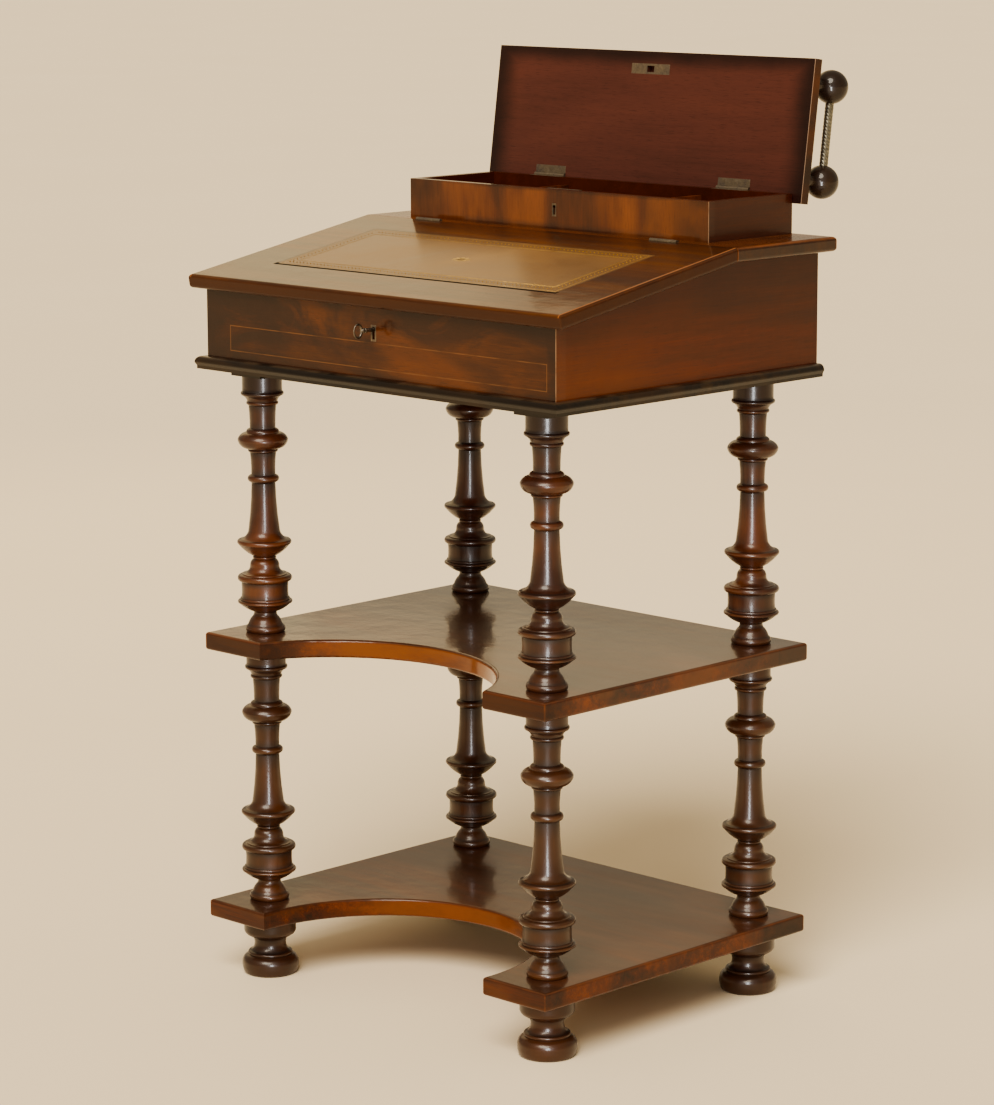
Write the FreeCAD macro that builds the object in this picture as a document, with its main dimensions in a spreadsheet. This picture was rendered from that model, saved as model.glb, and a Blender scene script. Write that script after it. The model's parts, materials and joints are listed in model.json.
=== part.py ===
import FreeCAD, Part
import math
import os
import re

# Walnut davenport writing desk: a sloped writing box on eight turned columns and two shelves,
# with a lidded stationery box on top. Millimetres, +Z up, -Y the sitter's side.
# The origin lies on the floor, under the middle of the whole desk with its stationery lid open.

# ---- driving sizes -------------------------------------------------------------------------

desk = dict(
    # grid of the columns, middle to middle
    column_span_x=410.0,
    column_span_y=306.0,
    # turned work
    foot_height=62.0,
    column_length=272.0,
    tenon_radius=8.0,
    tenon_fit=0.1,
    tenon_bite=12.0,
    # shelves, reaches measured from the middle of the columns
    shelf_width=494.0,
    shelf_front=200.0,
    shelf_back=193.0,
    shelf_thick=19.0,
    shelf_edge=3.0,
    knee_radius=175.0,
    knee_depth=110.0,
    toe_radius=162.0,
    toe_depth=174.0,
    # square blocks under the writing box
    pad_side=45.0,
    pad_thick=6.5,
    # writing box
    case_width=500.0,
    case_front=187.5,
    case_back=199.5,
    case_height=127.8,
    front_thick=14.0,
    side_thick=11.0,
    back_thick=10.0,
    base_thick=9.0,
    # moulding round the foot of the writing box
    mould_height=13.0,
    mould_reach=10.0,
    # writing slope and the fixed board behind it
    top_width=532.0,
    top_thick=15.0,
    top_round=4.0,
    top_back=209.5,
    joint_reach=56.0,
    joint_gap=0.6,
    slope_reach=199.0,
    slope_pitch=10.0,
    rest_gap=0.3,
    # leather let into the slope
    leather_width=400.0,
    leather_depth=146.0,
    leather_thick=0.7,
    leather_inset=64.5,
    # stationery box
    tray_width=426.0,
    tray_front=72.8,
    tray_back=201.8,
    tray_height=41.0,
    tray_wall=9.0,
    tray_side=8.0,
    tray_floor=4.0,
    divider_thick=5.0,
    divider_spread=190.0,
    divider_drop=8.0,
    rest_length=150.0,
    rest_width=34.0,
    rest_height=12.0,
    rest_trough=11.0,
    # lid of the stationery box, reaches measured from its hinge line
    lid_width=447.0,
    lid_reach=137.5,
    lid_overhang=10.3,
    lid_thick=11.7,
    lid_round=1.5,
    lid_open=98.0,
    # gallery on the lid
    ball_radius=17.5,
    ball_height=35.0,
    ball_inset_x=14.0,
    ball_inset_y=25.0,
    stem_radius=5.5,
    rail_radius=4.6,
    rail_bite=5.0,
    # brass butt hinges
    leaf_thick=1.2,
    barrel_radius=2.4,
    pin_radius=1.0,
    pin_fit=0.05,
    knuckle_gap=0.2,
    hinge_clear=0.3,
    slope_hinge_length=36.0,
    slope_hinge_leaf=13.0,
    slope_hinge_spread=336.0,
    lid_hinge_length=44.0,
    lid_hinge_leaf=10.5,
    lid_hinge_spread=262.0,
    # lock of the writing box, and its key
    lock_width=58.0,
    lock_height=36.0,
    lock_depth=11.0,
    lock_wall=1.4,
    lock_drop=0.6,
    bolt_width=22.0,
    bolt_thick=4.0,
    bolt_height=15.0,
    bolt_setback=3.0,
    bolt_fit=0.3,
    key_height=61.5,
    key_radius=2.0,
    key_length=51.0,
    key_tip=9.0,
    bow_radius=6.6,
    bow_height=16.0,
    bow_wire=2.2,
    bit_reach=8.0,
    bit_width=6.0,
    bit_thick=2.2,
    bit_back=7.5,
    keyhole_fit=0.6,
    keyhole_drop=10.0,
    plate_width=7.5,
    plate_rise=4.5,
    plate_drop=12.0,
    plate_thick=1.2,
    strike_width=54.0,
    strike_depth=11.0,
    strike_thick=1.0,
    strike_slot=24.0,
    strike_room=7.0,
    # smaller lock of the stationery box
    small_lock_width=46.0,
    small_lock_height=30.0,
    small_lock_depth=9.0,
    small_bolt_width=7.0,
    small_bolt_thick=3.6,
    small_bolt_height=13.0,
    small_bolt_setback=1.8,
    small_key_height=23.0,
    small_keyhole_radius=2.0,
    small_keyhole_drop=8.0,
    small_plate_width=6.0,
    small_plate_rise=3.8,
    small_plate_drop=9.7,
)


def worked_out(d):
    """Levels and middles that follow from the driving sizes."""
    pitch = math.radians(d["slope_pitch"])
    opened = math.radians(d["lid_open"])
    low_shelf = d["foot_height"]
    low_column = low_shelf + d["shelf_thick"]
    high_shelf = low_column + d["column_length"]
    high_column = high_shelf + d["shelf_thick"]
    pad_level = high_column + d["column_length"]
    case_level = pad_level + d["pad_thick"]
    top_under = case_level + d["case_height"]
    top_level = top_under + d["top_thick"]
    rim_level = top_level + d["tray_height"]
    axis_y = d["tray_back"] + d["barrel_radius"] + d["hinge_clear"]
    ball_reach = d["lid_reach"] - d["ball_inset_y"]
    ball_rise = d["joint_gap"] / 2 + d["lid_thick"] + d["ball_height"]
    rear = axis_y - ball_reach * math.cos(opened) + ball_rise * math.sin(opened) + d["ball_radius"]
    slope_length = (d["joint_reach"] + d["slope_reach"]) / math.cos(pitch)
    key_reach = d["case_front"] - d["front_thick"] - d["key_tip"] + d["key_length"]
    return dict(
        mid_y=(max(d["shelf_front"], key_reach) - rear) / 2,
        low_shelf=low_shelf,
        low_column=low_column,
        high_shelf=high_shelf,
        high_column=high_column,
        pad_level=pad_level,
        case_level=case_level,
        top_under=top_under,
        top_level=top_level,
        rim_level=rim_level,
        axis_y=axis_y,
        axis_z=rim_level + d["joint_gap"] / 2,
        slope_length=slope_length,
        ball_reach=ball_reach,
        back_ball_reach=d["ball_inset_y"] - d["lid_overhang"],
    )


desk.update(worked_out(desk))

doc = FreeCAD.newDocument("DavenportDesk")
sheet = doc.addObject("Spreadsheet::Sheet", "Sizes")
for row, (alias, value) in enumerate(desk.items(), start=1):
    sheet.set(f"A{row}", alias)
    sheet.set(f"B{row}", repr(round(value, 6)))
    sheet.setAlias(f"B{row}", alias)
doc.recompute()


def size(alias):
    return float(sheet.get(alias))


# ---- helpers -------------------------------------------------------------------------------

X_AXIS = FreeCAD.Vector(1, 0, 0)
parts = []
ALIAS = re.compile(r"\b(" + "|".join(desk) + r")\b")


def link(item, prop, text):
    """Binds a property to the sheet; names of sizes are written plainly in the text."""
    item.setExpression(prop, ALIAS.sub(r"Sizes.\1", str(text)))


def place(item, x="0", y="0", z="0", turn=None):
    """Places an item; turn is an angle about X in degrees."""
    if turn is not None:
        item.Placement = FreeCAD.Placement(FreeCAD.Vector(), FreeCAD.Rotation(X_AXIS, 1.0))
        link(item, "Placement.Rotation.Angle", turn)
    link(item, "Placement.Base.x", x)
    link(item, "Placement.Base.y", f"mid_y + {y}")
    link(item, "Placement.Base.z", z)
    return item


def on_slope(item, x, run, rise):
    """Places an item by its distance down the slope from the joint and its height above it."""
    sine = "sin(slope_pitch * 1 deg)"
    cosine = "cos(slope_pitch * 1 deg)"
    y = f"joint_reach - ({run}) * {cosine} - ({rise}) * {sine}"
    z = f"top_level - ({run}) * {sine} + ({rise}) * {cosine}"
    return place(item, x, y, z, "slope_pitch")


def on_lid(item, x, reach, rise):
    """Places an item by its reach from the lid's hinge line and its height over that line."""
    sine = "sin(lid_open * 1 deg)"
    cosine = "cos(lid_open * 1 deg)"
    y = f"axis_y - ({reach}) * {cosine} + ({rise}) * {sine}"
    z = f"axis_z + ({reach}) * {sine} + ({rise}) * {cosine}"
    return place(item, x, y, z, "-lid_open")


def block(name, length, width, height):
    item = doc.addObject("Part::Box", name)
    link(item, "Length", length)
    link(item, "Width", width)
    link(item, "Height", height)
    return item


def board(name, length, width, height, x, y, z):
    return place(block(name, length, width, height), x, y, z)


def drum(name, radius, height, x="0", y="0", z="0", lie=None):
    """A cylinder standing up, or lying along X or Y."""
    item = doc.addObject("Part::Cylinder", name)
    link(item, "Radius", radius)
    link(item, "Height", height)
    place(item, x, y, z)
    if lie == "x":
        item.Placement.Rotation = FreeCAD.Rotation(FreeCAD.Vector(0, 1, 0), 90)
    if lie == "y":
        item.Placement.Rotation = FreeCAD.Rotation(X_AXIS, -90)
    return item


def cut(base, tools):
    tool = tools[0]
    if len(tools) > 1:
        tool = doc.addObject("Part::MultiFuse", base.Name + "Tools")
        tool.Shapes = tools
    item = doc.addObject("Part::Cut", base.Name + "Cut")
    item.Base = base
    item.Tool = tool
    return item


def piece(item, label):
    item.Label = label
    parts.append(item)
    return item


def plane(body, role):
    return next(f for f in body.Origin.OriginFeatures if f.Role == role)


def sketched(name, role, edges):
    """A body with one closed sketch on one of its own origin planes."""
    body = doc.addObject("PartDesign::Body", name)
    sketch = body.newObject("Sketcher::SketchObject", name + "Sketch")
    sketch.AttachmentSupport = [(plane(body, role), "")]
    sketch.MapMode = "FlatFace"
    sketch.addGeometry(edges, False)
    return body, sketch


def vec(point):
    return FreeCAD.Vector(point[0], point[1], 0)


def outline(points):
    """Closed outline: (x, y) ends a straight line, (mid_x, mid_y, x, y) ends an arc."""
    edges = []
    here = points[0][-2:]
    for step in points[1:] + [points[0][-2:]]:
        there = step[-2:]
        if len(step) == 4:
            edges.append(Part.Arc(vec(here), vec(step[:2]), vec(there)))
        else:
            edges.append(Part.LineSegment(vec(here), vec(there)))
        here = there
    return edges


def padded(name, role, points, length, both_ways=False, holes=()):
    """A sketch padded to a thickness; holes are (x, y, radius)."""
    circles = [Part.Circle(vec(h), FreeCAD.Vector(0, 0, 1), h[2]) for h in holes]
    body, sketch = sketched(name, role, outline(points) + circles)
    pad = body.newObject("PartDesign::Pad", name + "Pad")
    pad.Profile = sketch
    pad.SideType = "Symmetric" if both_ways else "One side"
    link(pad, "Length", length)
    return body


def rounded(body, radius, wanted):
    """Rounds the edges of a body's last solid that the test picks."""
    doc.recompute()
    base = body.Tip
    names = [f"Edge{n}" for n, edge in enumerate(base.Shape.Edges, start=1) if wanted(edge)]
    fillet = body.newObject("PartDesign::Fillet", body.Name + "Round")
    fillet.Base = (base, names)
    link(fillet, "Radius", radius)
    return body


def turned(name, points):
    """A solid of revolution; the outline runs from the axis up its right side."""
    body, sketch = sketched(name, "XZ_Plane", outline(points))
    turning = body.newObject("PartDesign::Revolution", name + "Turning")
    turning.Profile = sketch
    turning.ReferenceAxis = (sketch, ["V_Axis"])
    turning.Angle = 360.0
    return body


def spread(low, high):
    """Runs over the four corners of the column grid, with their names and signs."""
    for depth, sign_y in (("front", -1), ("rear", 1)):
        for side, sign_x in (("left", -1), ("right", 1)):
            yield f"{low}_{depth}_{side}{high}", sign_x, sign_y


def grid(sign, span):
    return f"{sign} * {span} / 2"


# ---- turned feet and columns ---------------------------------------------------------------

bore = size("tenon_radius") + size("tenon_fit")
bite = size("tenon_bite")


def socket(top):
    """End of a turning: a blind hole down from its top face for the tenon above."""
    return [(bore, top), (bore, top - bite - 1.0), (0, top - bite - 1.0)]


def foot_outline(top):
    """Foot: a cushion with a bead on its shoulder, a pinched waist and a spreading collar."""
    collar = top - 13.6
    cushion = [(26.0, 0), (29.3, 4.4, 30.0, 10.6), (28.9, 16.2, 24.4, 20.2)]
    bead = [(23.2, 20.8), (23.4, 22.6, 21.8, 24.0)]
    waist = [(20.4, 24.4), (16.9, 31.0, 17.6, 37.4), (19.4, 39.8, 22.6, 41.2)]
    collar_part = [(23.4, 42.2), (26.7, 44.4, 27.8, collar), (27.8, top)]
    return [(0, 0)] + cushion + bead + waist + collar_part + socket(top)


def column_outline(top, top_end):
    """Ring, drum, bowl and vase turning; heights above the bowl are set off from the top."""
    down = top - 272.0
    tenon = size("tenon_radius")
    root = -size("shelf_thick") - bite
    base_ring = [(19.6, 0), (20.9, 3.4, 19.4, 7.0), (18.4, 7.8)]
    ankle = [(16.8, 12.0, 14.4, 15.6), (12.4, 18.4, 12.0, 21.6)]
    low_drum = [(21.4, 26.2, 27.4, 31.2), (28.7, 32.7, 27.2, 34.2), (26.0, 34.8)]
    drum_face = [(26.0, 36.6), (24.7, 37.4), (24.7, 53.8)]
    drum_ring = [(25.4, 54.4), (28.6, 57.8, 26.0, 61.2), (22.6, 62.0)]
    waist = [(17.0, 65.4, 15.4, 70.0), (14.5, 74.8, 11.4, 78.4), (11.4, 80.8)]
    bowl = [(20.8, 87.0, 27.2, 93.8), (28.5, 96.4, 26.8, 98.6)]
    vase = [(19.8, 102.0, 16.6, 107.8), (14.1, 131.0 + down / 2, 12.5, 158.8 + down)]
    neck_ring = [(14.0, 160.0 + down), (16.5, 163.4 + down, 14.0, 166.8 + down)]
    neck = [(12.5, 167.8 + down), (13.7, 191.4 + down), (15.2, 192.2 + down), (16.6, 195.0 + down)]
    cap = [(24.0, 199.0 + down, 26.4, 205.0 + down), (23.9, 209.0 + down, 17.4, 212.2 + down)]
    spindle = [(15.8, 215.4 + down), (13.4, 216.8 + down), (14.4, 240.8 + down), (15.4, 241.4 + down)]
    head = [(16.7, 243.1 + down, 15.8, 244.8 + down), (17.9, 249.0 + down, 21.2, 251.4 + down)]
    top_ring = [(22.4, 252.4 + down), (22.4, 254.2 + down), (21.2, 255.2 + down), (21.2, top)]
    lower_half = base_ring + ankle + low_drum + drum_face + drum_ring + waist + bowl
    upper_half = vase + neck_ring + neck + cap + spindle + head + top_ring
    return [(0, root), (tenon, root), (tenon, 0)] + lower_half + upper_half + top_end


def tenon_end(top):
    tenon = size("tenon_radius")
    rise = size("pad_thick") + size("base_thick") - 1.0
    return [(tenon, top), (tenon, top + rise), (0, top + rise)]


foot_top = size("foot_height")
for name, sign_x, sign_y in spread("foot", ""):
    foot = turned(name, foot_outline(foot_top))
    place(foot, grid(sign_x, "column_span_x"), grid(sign_y, "column_span_y"), "0")
    piece(foot, name)

column_top = size("column_length")
for tier, level, ending in (
    ("lower", "low_column", socket(column_top)),
    ("upper", "high_column", tenon_end(column_top)),
):
    for name, sign_x, sign_y in spread(f"{tier}_column", ""):
        column = turned(name, column_outline(column_top, ending))
        place(column, grid(sign_x, "column_span_x"), grid(sign_y, "column_span_y"), level)
        piece(column, name)

# ---- shelves -------------------------------------------------------------------------------

half_shelf = size("shelf_width") / 2
front = -size("shelf_front")
back = size("shelf_back")
column_x = size("column_span_x") / 2
column_y = size("column_span_y") / 2
column_holes = [(sx * column_x, sy * column_y, bore) for sx in (-1, 1) for sy in (-1, 1)]


def is_shelf_edge(edge):
    """Long edges of the two faces, without the upright corners and the tenon holes."""
    box = edge.BoundBox
    return box.ZLength < 0.01 and max(box.XLength, box.YLength) > 3 * bore


def shelf(name, level, notch):
    corners = [(-half_shelf, front), (-half_shelf, back), (half_shelf, back), (half_shelf, front)]
    body = padded(name, "XY_Plane", corners + notch, "shelf_thick", holes=column_holes)
    rounded(body, "shelf_edge", is_shelf_edge)
    return piece(place(body, z=level), name)


# the middle shelf is hollowed by a shallow arc for the knees
knee = size("knee_radius")
knee_back = front + size("knee_depth")
knee_half = math.sqrt(knee**2 - (knee - size("knee_depth")) ** 2)
shelf("middle_shelf", "high_shelf", [(knee_half, front), (0, knee_back, -knee_half, front)])

# the bottom shelf by a half round for the feet
toe = size("toe_radius")
toe_back = front + size("toe_depth")
toe_notch = [(toe, front), (toe, toe_back - toe), (0, toe_back, -toe, toe_back - toe), (-toe, front)]
shelf("bottom_shelf", "low_shelf", toe_notch)

# ---- square pads under the writing box -------------------------------------------------------

for name, sign_x, sign_y in spread("column_pad", ""):
    middle_x = grid(sign_x, "column_span_x")
    middle_y = grid(sign_y, "column_span_y")
    blank = block(name + "_blank", "pad_side", "pad_side", "pad_thick")
    place(blank, f"{middle_x} - pad_side / 2", f"{middle_y} - pad_side / 2", "pad_level")
    hole = drum(name + "_hole", "tenon_radius + tenon_fit", "pad_thick", middle_x, middle_y, "pad_level")
    piece(cut(blank, [hole]), name)

# ---- writing box -----------------------------------------------------------------------------

pitch = math.radians(size("slope_pitch"))
case_level = size("case_level")
top_under = size("top_under")
case_front = -size("case_front")
case_back = size("case_back")
front_inside = case_front + size("front_thick")


def slope_under(y):
    """Level of the writing slope's underside at a depth measured from the columns' middle."""
    drop = (size("joint_reach") - y) * math.tan(pitch) + size("top_thick") / math.cos(pitch)
    return size("top_level") - drop


def rest_line(y):
    """Level of the edges that the closed slope rests on."""
    return slope_under(y) - size("rest_gap")


front_blank = padded(
    "carcase_front_blank",
    "YZ_Plane",
    [
        (case_front, case_level),
        (front_inside, case_level),
        (front_inside, rest_line(front_inside)),
        (case_front, rest_line(case_front)),
    ],
    "case_width",
    both_ways=True,
)
place(front_blank)

key_level = "case_level + key_height"
keyway = "key_radius + keyhole_fit"
keyhole_round = drum("keyhole_round", keyway, "front_thick + 2", "0", "-case_front - 1", key_level, "y")
keyhole_slot = board(
    "keyhole_slot",
    "bit_thick + 2 * keyhole_fit",
    "front_thick + 2",
    "keyhole_drop",
    "-bit_thick / 2 - keyhole_fit",
    "-case_front - 1",
    f"{key_level} - keyhole_drop",
)
escutcheon_seat = board(
    "escutcheon_seat",
    "plate_width",
    "plate_thick + 1",
    "plate_rise + plate_drop",
    "-plate_width / 2",
    "-case_front - 1",
    f"{key_level} - plate_drop",
)
piece(cut(front_blank, [keyhole_round, keyhole_slot, escutcheon_seat]), "carcase_front")

side_outline = [
    (front_inside, case_level),
    (case_back, case_level),
    (case_back, top_under),
    (size("joint_reach"), top_under),
    (size("joint_reach"), rest_line(size("joint_reach"))),
    (front_inside, rest_line(front_inside)),
]
for side, x in (("left", "-case_width / 2"), ("right", "case_width / 2 - side_thick")):
    name = f"carcase_{side}"
    panel = padded(name, "YZ_Plane", side_outline, "side_thick")
    piece(place(panel, x), name)

inner_width = "case_width - 2 * side_thick"
inner_left = "side_thick - case_width / 2"
piece(
    board(
        "carcase_back",
        inner_width,
        "back_thick",
        "case_height",
        inner_left,
        "case_back - back_thick",
        "case_level",
    ),
    "carcase_back",
)

base_blank = board(
    "carcase_base_blank",
    inner_width,
    "case_back - back_thick + case_front - front_thick",
    "base_thick",
    inner_left,
    "front_thick - case_front",
    "case_level",
)
base_holes = [
    drum(
        name,
        "tenon_radius + tenon_fit",
        "base_thick",
        grid(sign_x, "column_span_x"),
        grid(sign_y, "column_span_y"),
        "case_level",
    )
    for name, sign_x, sign_y in spread("base_hole", "")
]
piece(cut(base_blank, base_holes), "carcase_base")

# ---- moulding round the foot of the writing box ------------------------------------------------

reach = size("mould_reach")
rise = size("mould_height")


def thumb(root, sign):
    """Thumb mould: a small flat on top, a round nose and a step back under it."""
    foot_line = root + sign * 0.82 * reach
    return [
        (root, case_level),
        (root, case_level + rise),
        (root + sign * 0.3 * reach, case_level + rise),
        (root + sign * 0.86 * reach, case_level + 0.83 * rise, root + sign * reach, case_level + 0.5 * rise),
        (foot_line, case_level + 0.25 * rise),
        (foot_line, case_level),
    ]


def mitred(name, role, points, length, corner_points):
    """A moulding run padded long, then cut at its corners by a plan-shaped pocket."""
    body = padded(name, role, points, length, both_ways=True)
    for number, triangle in enumerate(corner_points):
        sketch = body.newObject("Sketcher::SketchObject", f"{name}Mitre{number}")
        sketch.AttachmentSupport = [(plane(body, "XY_Plane"), "")]
        sketch.MapMode = "FlatFace"
        sketch.addGeometry(outline(triangle), False)
        pocket = body.newObject("PartDesign::Pocket", f"{name}MitreCut{number}")
        pocket.Profile = sketch
        pocket.Type = "ThroughAll"
        pocket.Reversed = True
        body.Tip = pocket
    return body


half_case = size("case_width") / 2
over = 2 * reach
front_corners = [
    [
        (sign * half_case, case_front),
        (sign * (half_case + over), case_front - over),
        (sign * (half_case + over), case_front),
    ]
    for sign in (-1, 1)
]
front_mould = mitred(
    "base_moulding_front",
    "YZ_Plane",
    thumb(case_front, -1),
    "case_width + 2 * mould_reach",
    front_corners,
)
piece(place(front_mould), "base_moulding_front")

side_run = case_back - case_front + reach
side_middle = (case_back + case_front - reach) / 2
for side, sign in (("left", -1), ("right", 1)):
    name = f"base_moulding_{side}"
    mitre_root = case_front - side_middle
    corner = [
        (sign * half_case, mitre_root),
        (sign * half_case, mitre_root - over),
        (sign * (half_case + over), mitre_root - over),
    ]
    run = mitred(name, "XZ_Plane", thumb(sign * half_case, sign), str(side_run), [corner])
    piece(place(run, y=str(side_middle)), name)

# ---- hinges ------------------------------------------------------------------------------------

KNUCKLES = 3


def hinge_leaf(length, leaf, side, turned_by=0.0):
    """One leaf of a butt hinge with its knuckles. The pin runs along X through the origin, the
    leaf hangs down from it on the +Y side (side 1) or the -Y side (side -1)."""
    barrel = size("barrel_radius")
    thick = size("leaf_thick")
    face = size("joint_gap") / 2
    gap = size("knuckle_gap")
    step = length / KNUCKLES
    corner_y = face if side > 0 else -face - thick
    solid = Part.makeBox(length, thick, leaf, FreeCAD.Vector(-length / 2, corner_y, -leaf))
    own = 0 if side > 0 else 1
    for number in range(KNUCKLES):
        start = FreeCAD.Vector(-length / 2 + number * step, 0, 0)
        if number % 2 == own:
            shift = gap / 2 if number else 0.0
            wide = step - shift - (gap / 2 if number < KNUCKLES - 1 else 0.0)
            start.x += shift
            solid = solid.fuse(Part.makeCylinder(barrel, wide, start, X_AXIS))
        else:
            start.x -= gap / 2
            notch = Part.makeCylinder(barrel + gap, step + gap, start, X_AXIS)
            solid = solid.cut(notch)
            top = Part.makeBox(step + gap, 2 * barrel, barrel, FreeCAD.Vector(start.x, -barrel, -barrel))
            solid = solid.cut(top)
    hole = Part.makeCylinder(
        size("pin_radius") + size("pin_fit"),
        length + 2,
        FreeCAD.Vector(-length / 2 - 1, 0, 0),
        X_AXIS,
    )
    solid = solid.cut(hole).removeSplitter()
    solid.rotate(FreeCAD.Vector(), X_AXIS, turned_by)
    return solid


def hinge_set(label, spread_x, maker, axis_y, axis_z):
    """The like pieces of a left and a right hinge, as one node."""
    item = doc.addObject("Part::Feature", label)
    solids = []
    for sign in (-1, 1):
        solid = maker()
        solid.translate(FreeCAD.Vector(sign * spread_x / 2, 0, 0))
        solids.append(solid)
    item.Shape = Part.makeCompound(solids)
    item.Placement.Base = FreeCAD.Vector(0, size("mid_y") + axis_y, axis_z)
    return piece(item, label)


def pin(length):
    start = FreeCAD.Vector(-length / 2, 0, 0)
    return Part.makeCylinder(size("pin_radius"), length, start, X_AXIS)


slope_hinge = size("slope_hinge_length")
slope_leaf = size("slope_hinge_leaf")
lid_hinge = size("lid_hinge_length")
lid_leaf = size("lid_hinge_leaf")
opened = size("lid_open")

for label, maker in (
    ("slope_hinge_fixed_leaves", lambda: hinge_leaf(slope_hinge, slope_leaf, 1)),
    ("slope_hinge_moving_leaves", lambda: hinge_leaf(slope_hinge, slope_leaf, -1)),
    ("slope_hinge_pins", lambda: pin(slope_hinge)),
):
    axis = (size("joint_reach"), size("top_level"))
    hinge_set(label, size("slope_hinge_spread"), maker, *axis)

for label, maker in (
    ("lid_hinge_fixed_leaves", lambda: hinge_leaf(lid_hinge, lid_leaf, 1, -90.0)),
    ("lid_hinge_moving_leaves", lambda: hinge_leaf(lid_hinge, lid_leaf, -1, -90.0 - opened)),
    ("lid_hinge_pins", lambda: pin(lid_hinge)),
):
    axis = (size("axis_y"), size("axis_z"))
    hinge_set(label, size("lid_hinge_spread"), maker, *axis)


def slope_hinge_seats(prefix, side):
    """Mortises in the boards on either side of the joint: leaf on its face, barrel in its arris."""
    tools = []
    for hand, sign in (("left", -1), ("right", 1)):
        middle = f"{sign} * slope_hinge_spread / 2"
        face = "joint_reach + joint_gap / 2 - 1" if side > 0 else "joint_reach - joint_gap / 2 - leaf_thick"
        tools.append(
            board(
                f"{prefix}_{hand}_leaf_seat",
                "slope_hinge_length",
                "leaf_thick + 1",
                "slope_hinge_leaf + 5",
                f"{middle} - slope_hinge_length / 2",
                face,
                "top_level - slope_hinge_leaf",
            )
        )
        tools.append(
            drum(
                f"{prefix}_{hand}_barrel_seat",
                "barrel_radius + hinge_clear",
                "slope_hinge_length + 2 * hinge_clear",
                f"{middle} - slope_hinge_length / 2 - hinge_clear",
                "joint_reach",
                "top_level",
                "x",
            )
        )
    return tools


# ---- fixed board behind the slope ---------------------------------------------------------------

half_top = size("top_width") / 2
joint = size("joint_reach") + size("joint_gap") / 2
top_back = size("top_back")
top_blank = padded(
    "top_board_blank",
    "XY_Plane",
    [(-half_top, joint), (-half_top, top_back), (half_top, top_back), (half_top, joint)],
    "top_thick",
)


def is_free_arris(edge):
    """Top and bottom arrises along the three edges of a board that show."""
    box = edge.BoundBox
    level = box.ZLength < 0.01
    at_joint = box.YLength < 0.01 and abs(box.YMin - joint) < 0.01
    return level and not at_joint


rounded(top_blank, "top_round", is_free_arris)
place(top_blank, z="top_under")
piece(cut(top_blank, slope_hinge_seats("top_board", 1)), "top_board")

# ---- writing slope -------------------------------------------------------------------------------

slope_gap = size("joint_gap") / 2
slope_length = size("slope_length")
thick = size("top_thick")
nose = (-slope_length * math.cos(pitch), -slope_length * math.sin(pitch))
slope_outline = [
    (-slope_gap, -slope_gap * math.tan(pitch)),
    nose,
    (nose[0] + thick * math.sin(pitch), nose[1] - thick * math.cos(pitch)),
    (-slope_gap, -slope_gap * math.tan(pitch) - thick / math.cos(pitch)),
]
slope_blank = padded("slope_board_blank", "YZ_Plane", slope_outline, "top_width", both_ways=True)


def is_slope_arris(edge):
    """Arrises of the slope's front and two sides; the hinge side stays square."""
    box = edge.BoundBox
    along_front = box.XLength > 1 and box.YMin < nose[0] + thick
    along_side = box.XLength < 0.01 and box.YLength > slope_length / 2
    return along_front or along_side


rounded(slope_blank, "top_round", is_slope_arris)
place(slope_blank, "0", "joint_reach", "top_level")

leather_seat = block("leather_seat", "leather_width", "leather_depth", "leather_thick + 1")
on_slope(leather_seat, "-leather_width / 2", "slope_length - leather_inset", "-leather_thick")

# the lock's strike plate and the room for its bolt in the underside
bolt_middle = "front_thick - case_front + bolt_setback + bolt_thick / 2"
slope_run = f"(joint_reach - ({bolt_middle})) / cos(slope_pitch * 1 deg)"
bolt_run = f"({slope_run} + top_thick * tan(slope_pitch * 1 deg))"
strike_seat = block("strike_seat", "strike_width", "strike_depth", "strike_thick")
on_slope(strike_seat, "-strike_width / 2", f"{bolt_run} + strike_depth / 2", "-top_thick")
bolt_room = block("bolt_room", "strike_slot", "bolt_thick + 3", "strike_room")
on_slope(bolt_room, "-strike_slot / 2", f"{bolt_run} + (bolt_thick + 3) / 2", "-top_thick")
slope_seats = slope_hinge_seats("slope_board", -1) + [leather_seat, strike_seat, bolt_room]
piece(cut(slope_blank, slope_seats), "slope_board")

leather = block("leather_writing_surface", "leather_width", "leather_depth", "leather_thick")
on_slope(leather, "-leather_width / 2", "slope_length - leather_inset", "-leather_thick")
piece(leather, "leather_writing_surface")

strike_blank = block("slope_strike_blank", "strike_width", "strike_depth", "strike_thick")
on_slope(strike_blank, "-strike_width / 2", f"{bolt_run} + strike_depth / 2", "-top_thick")
strike_slot = block("slope_strike_slot", "strike_slot", "bolt_thick + 3", "strike_thick")
on_slope(strike_slot, "-strike_slot / 2", f"{bolt_run} + (bolt_thick + 3) / 2", "-top_thick")
piece(cut(strike_blank, [strike_slot]), "slope_lock_strike")

# ---- locks -----------------------------------------------------------------------------------------


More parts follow.
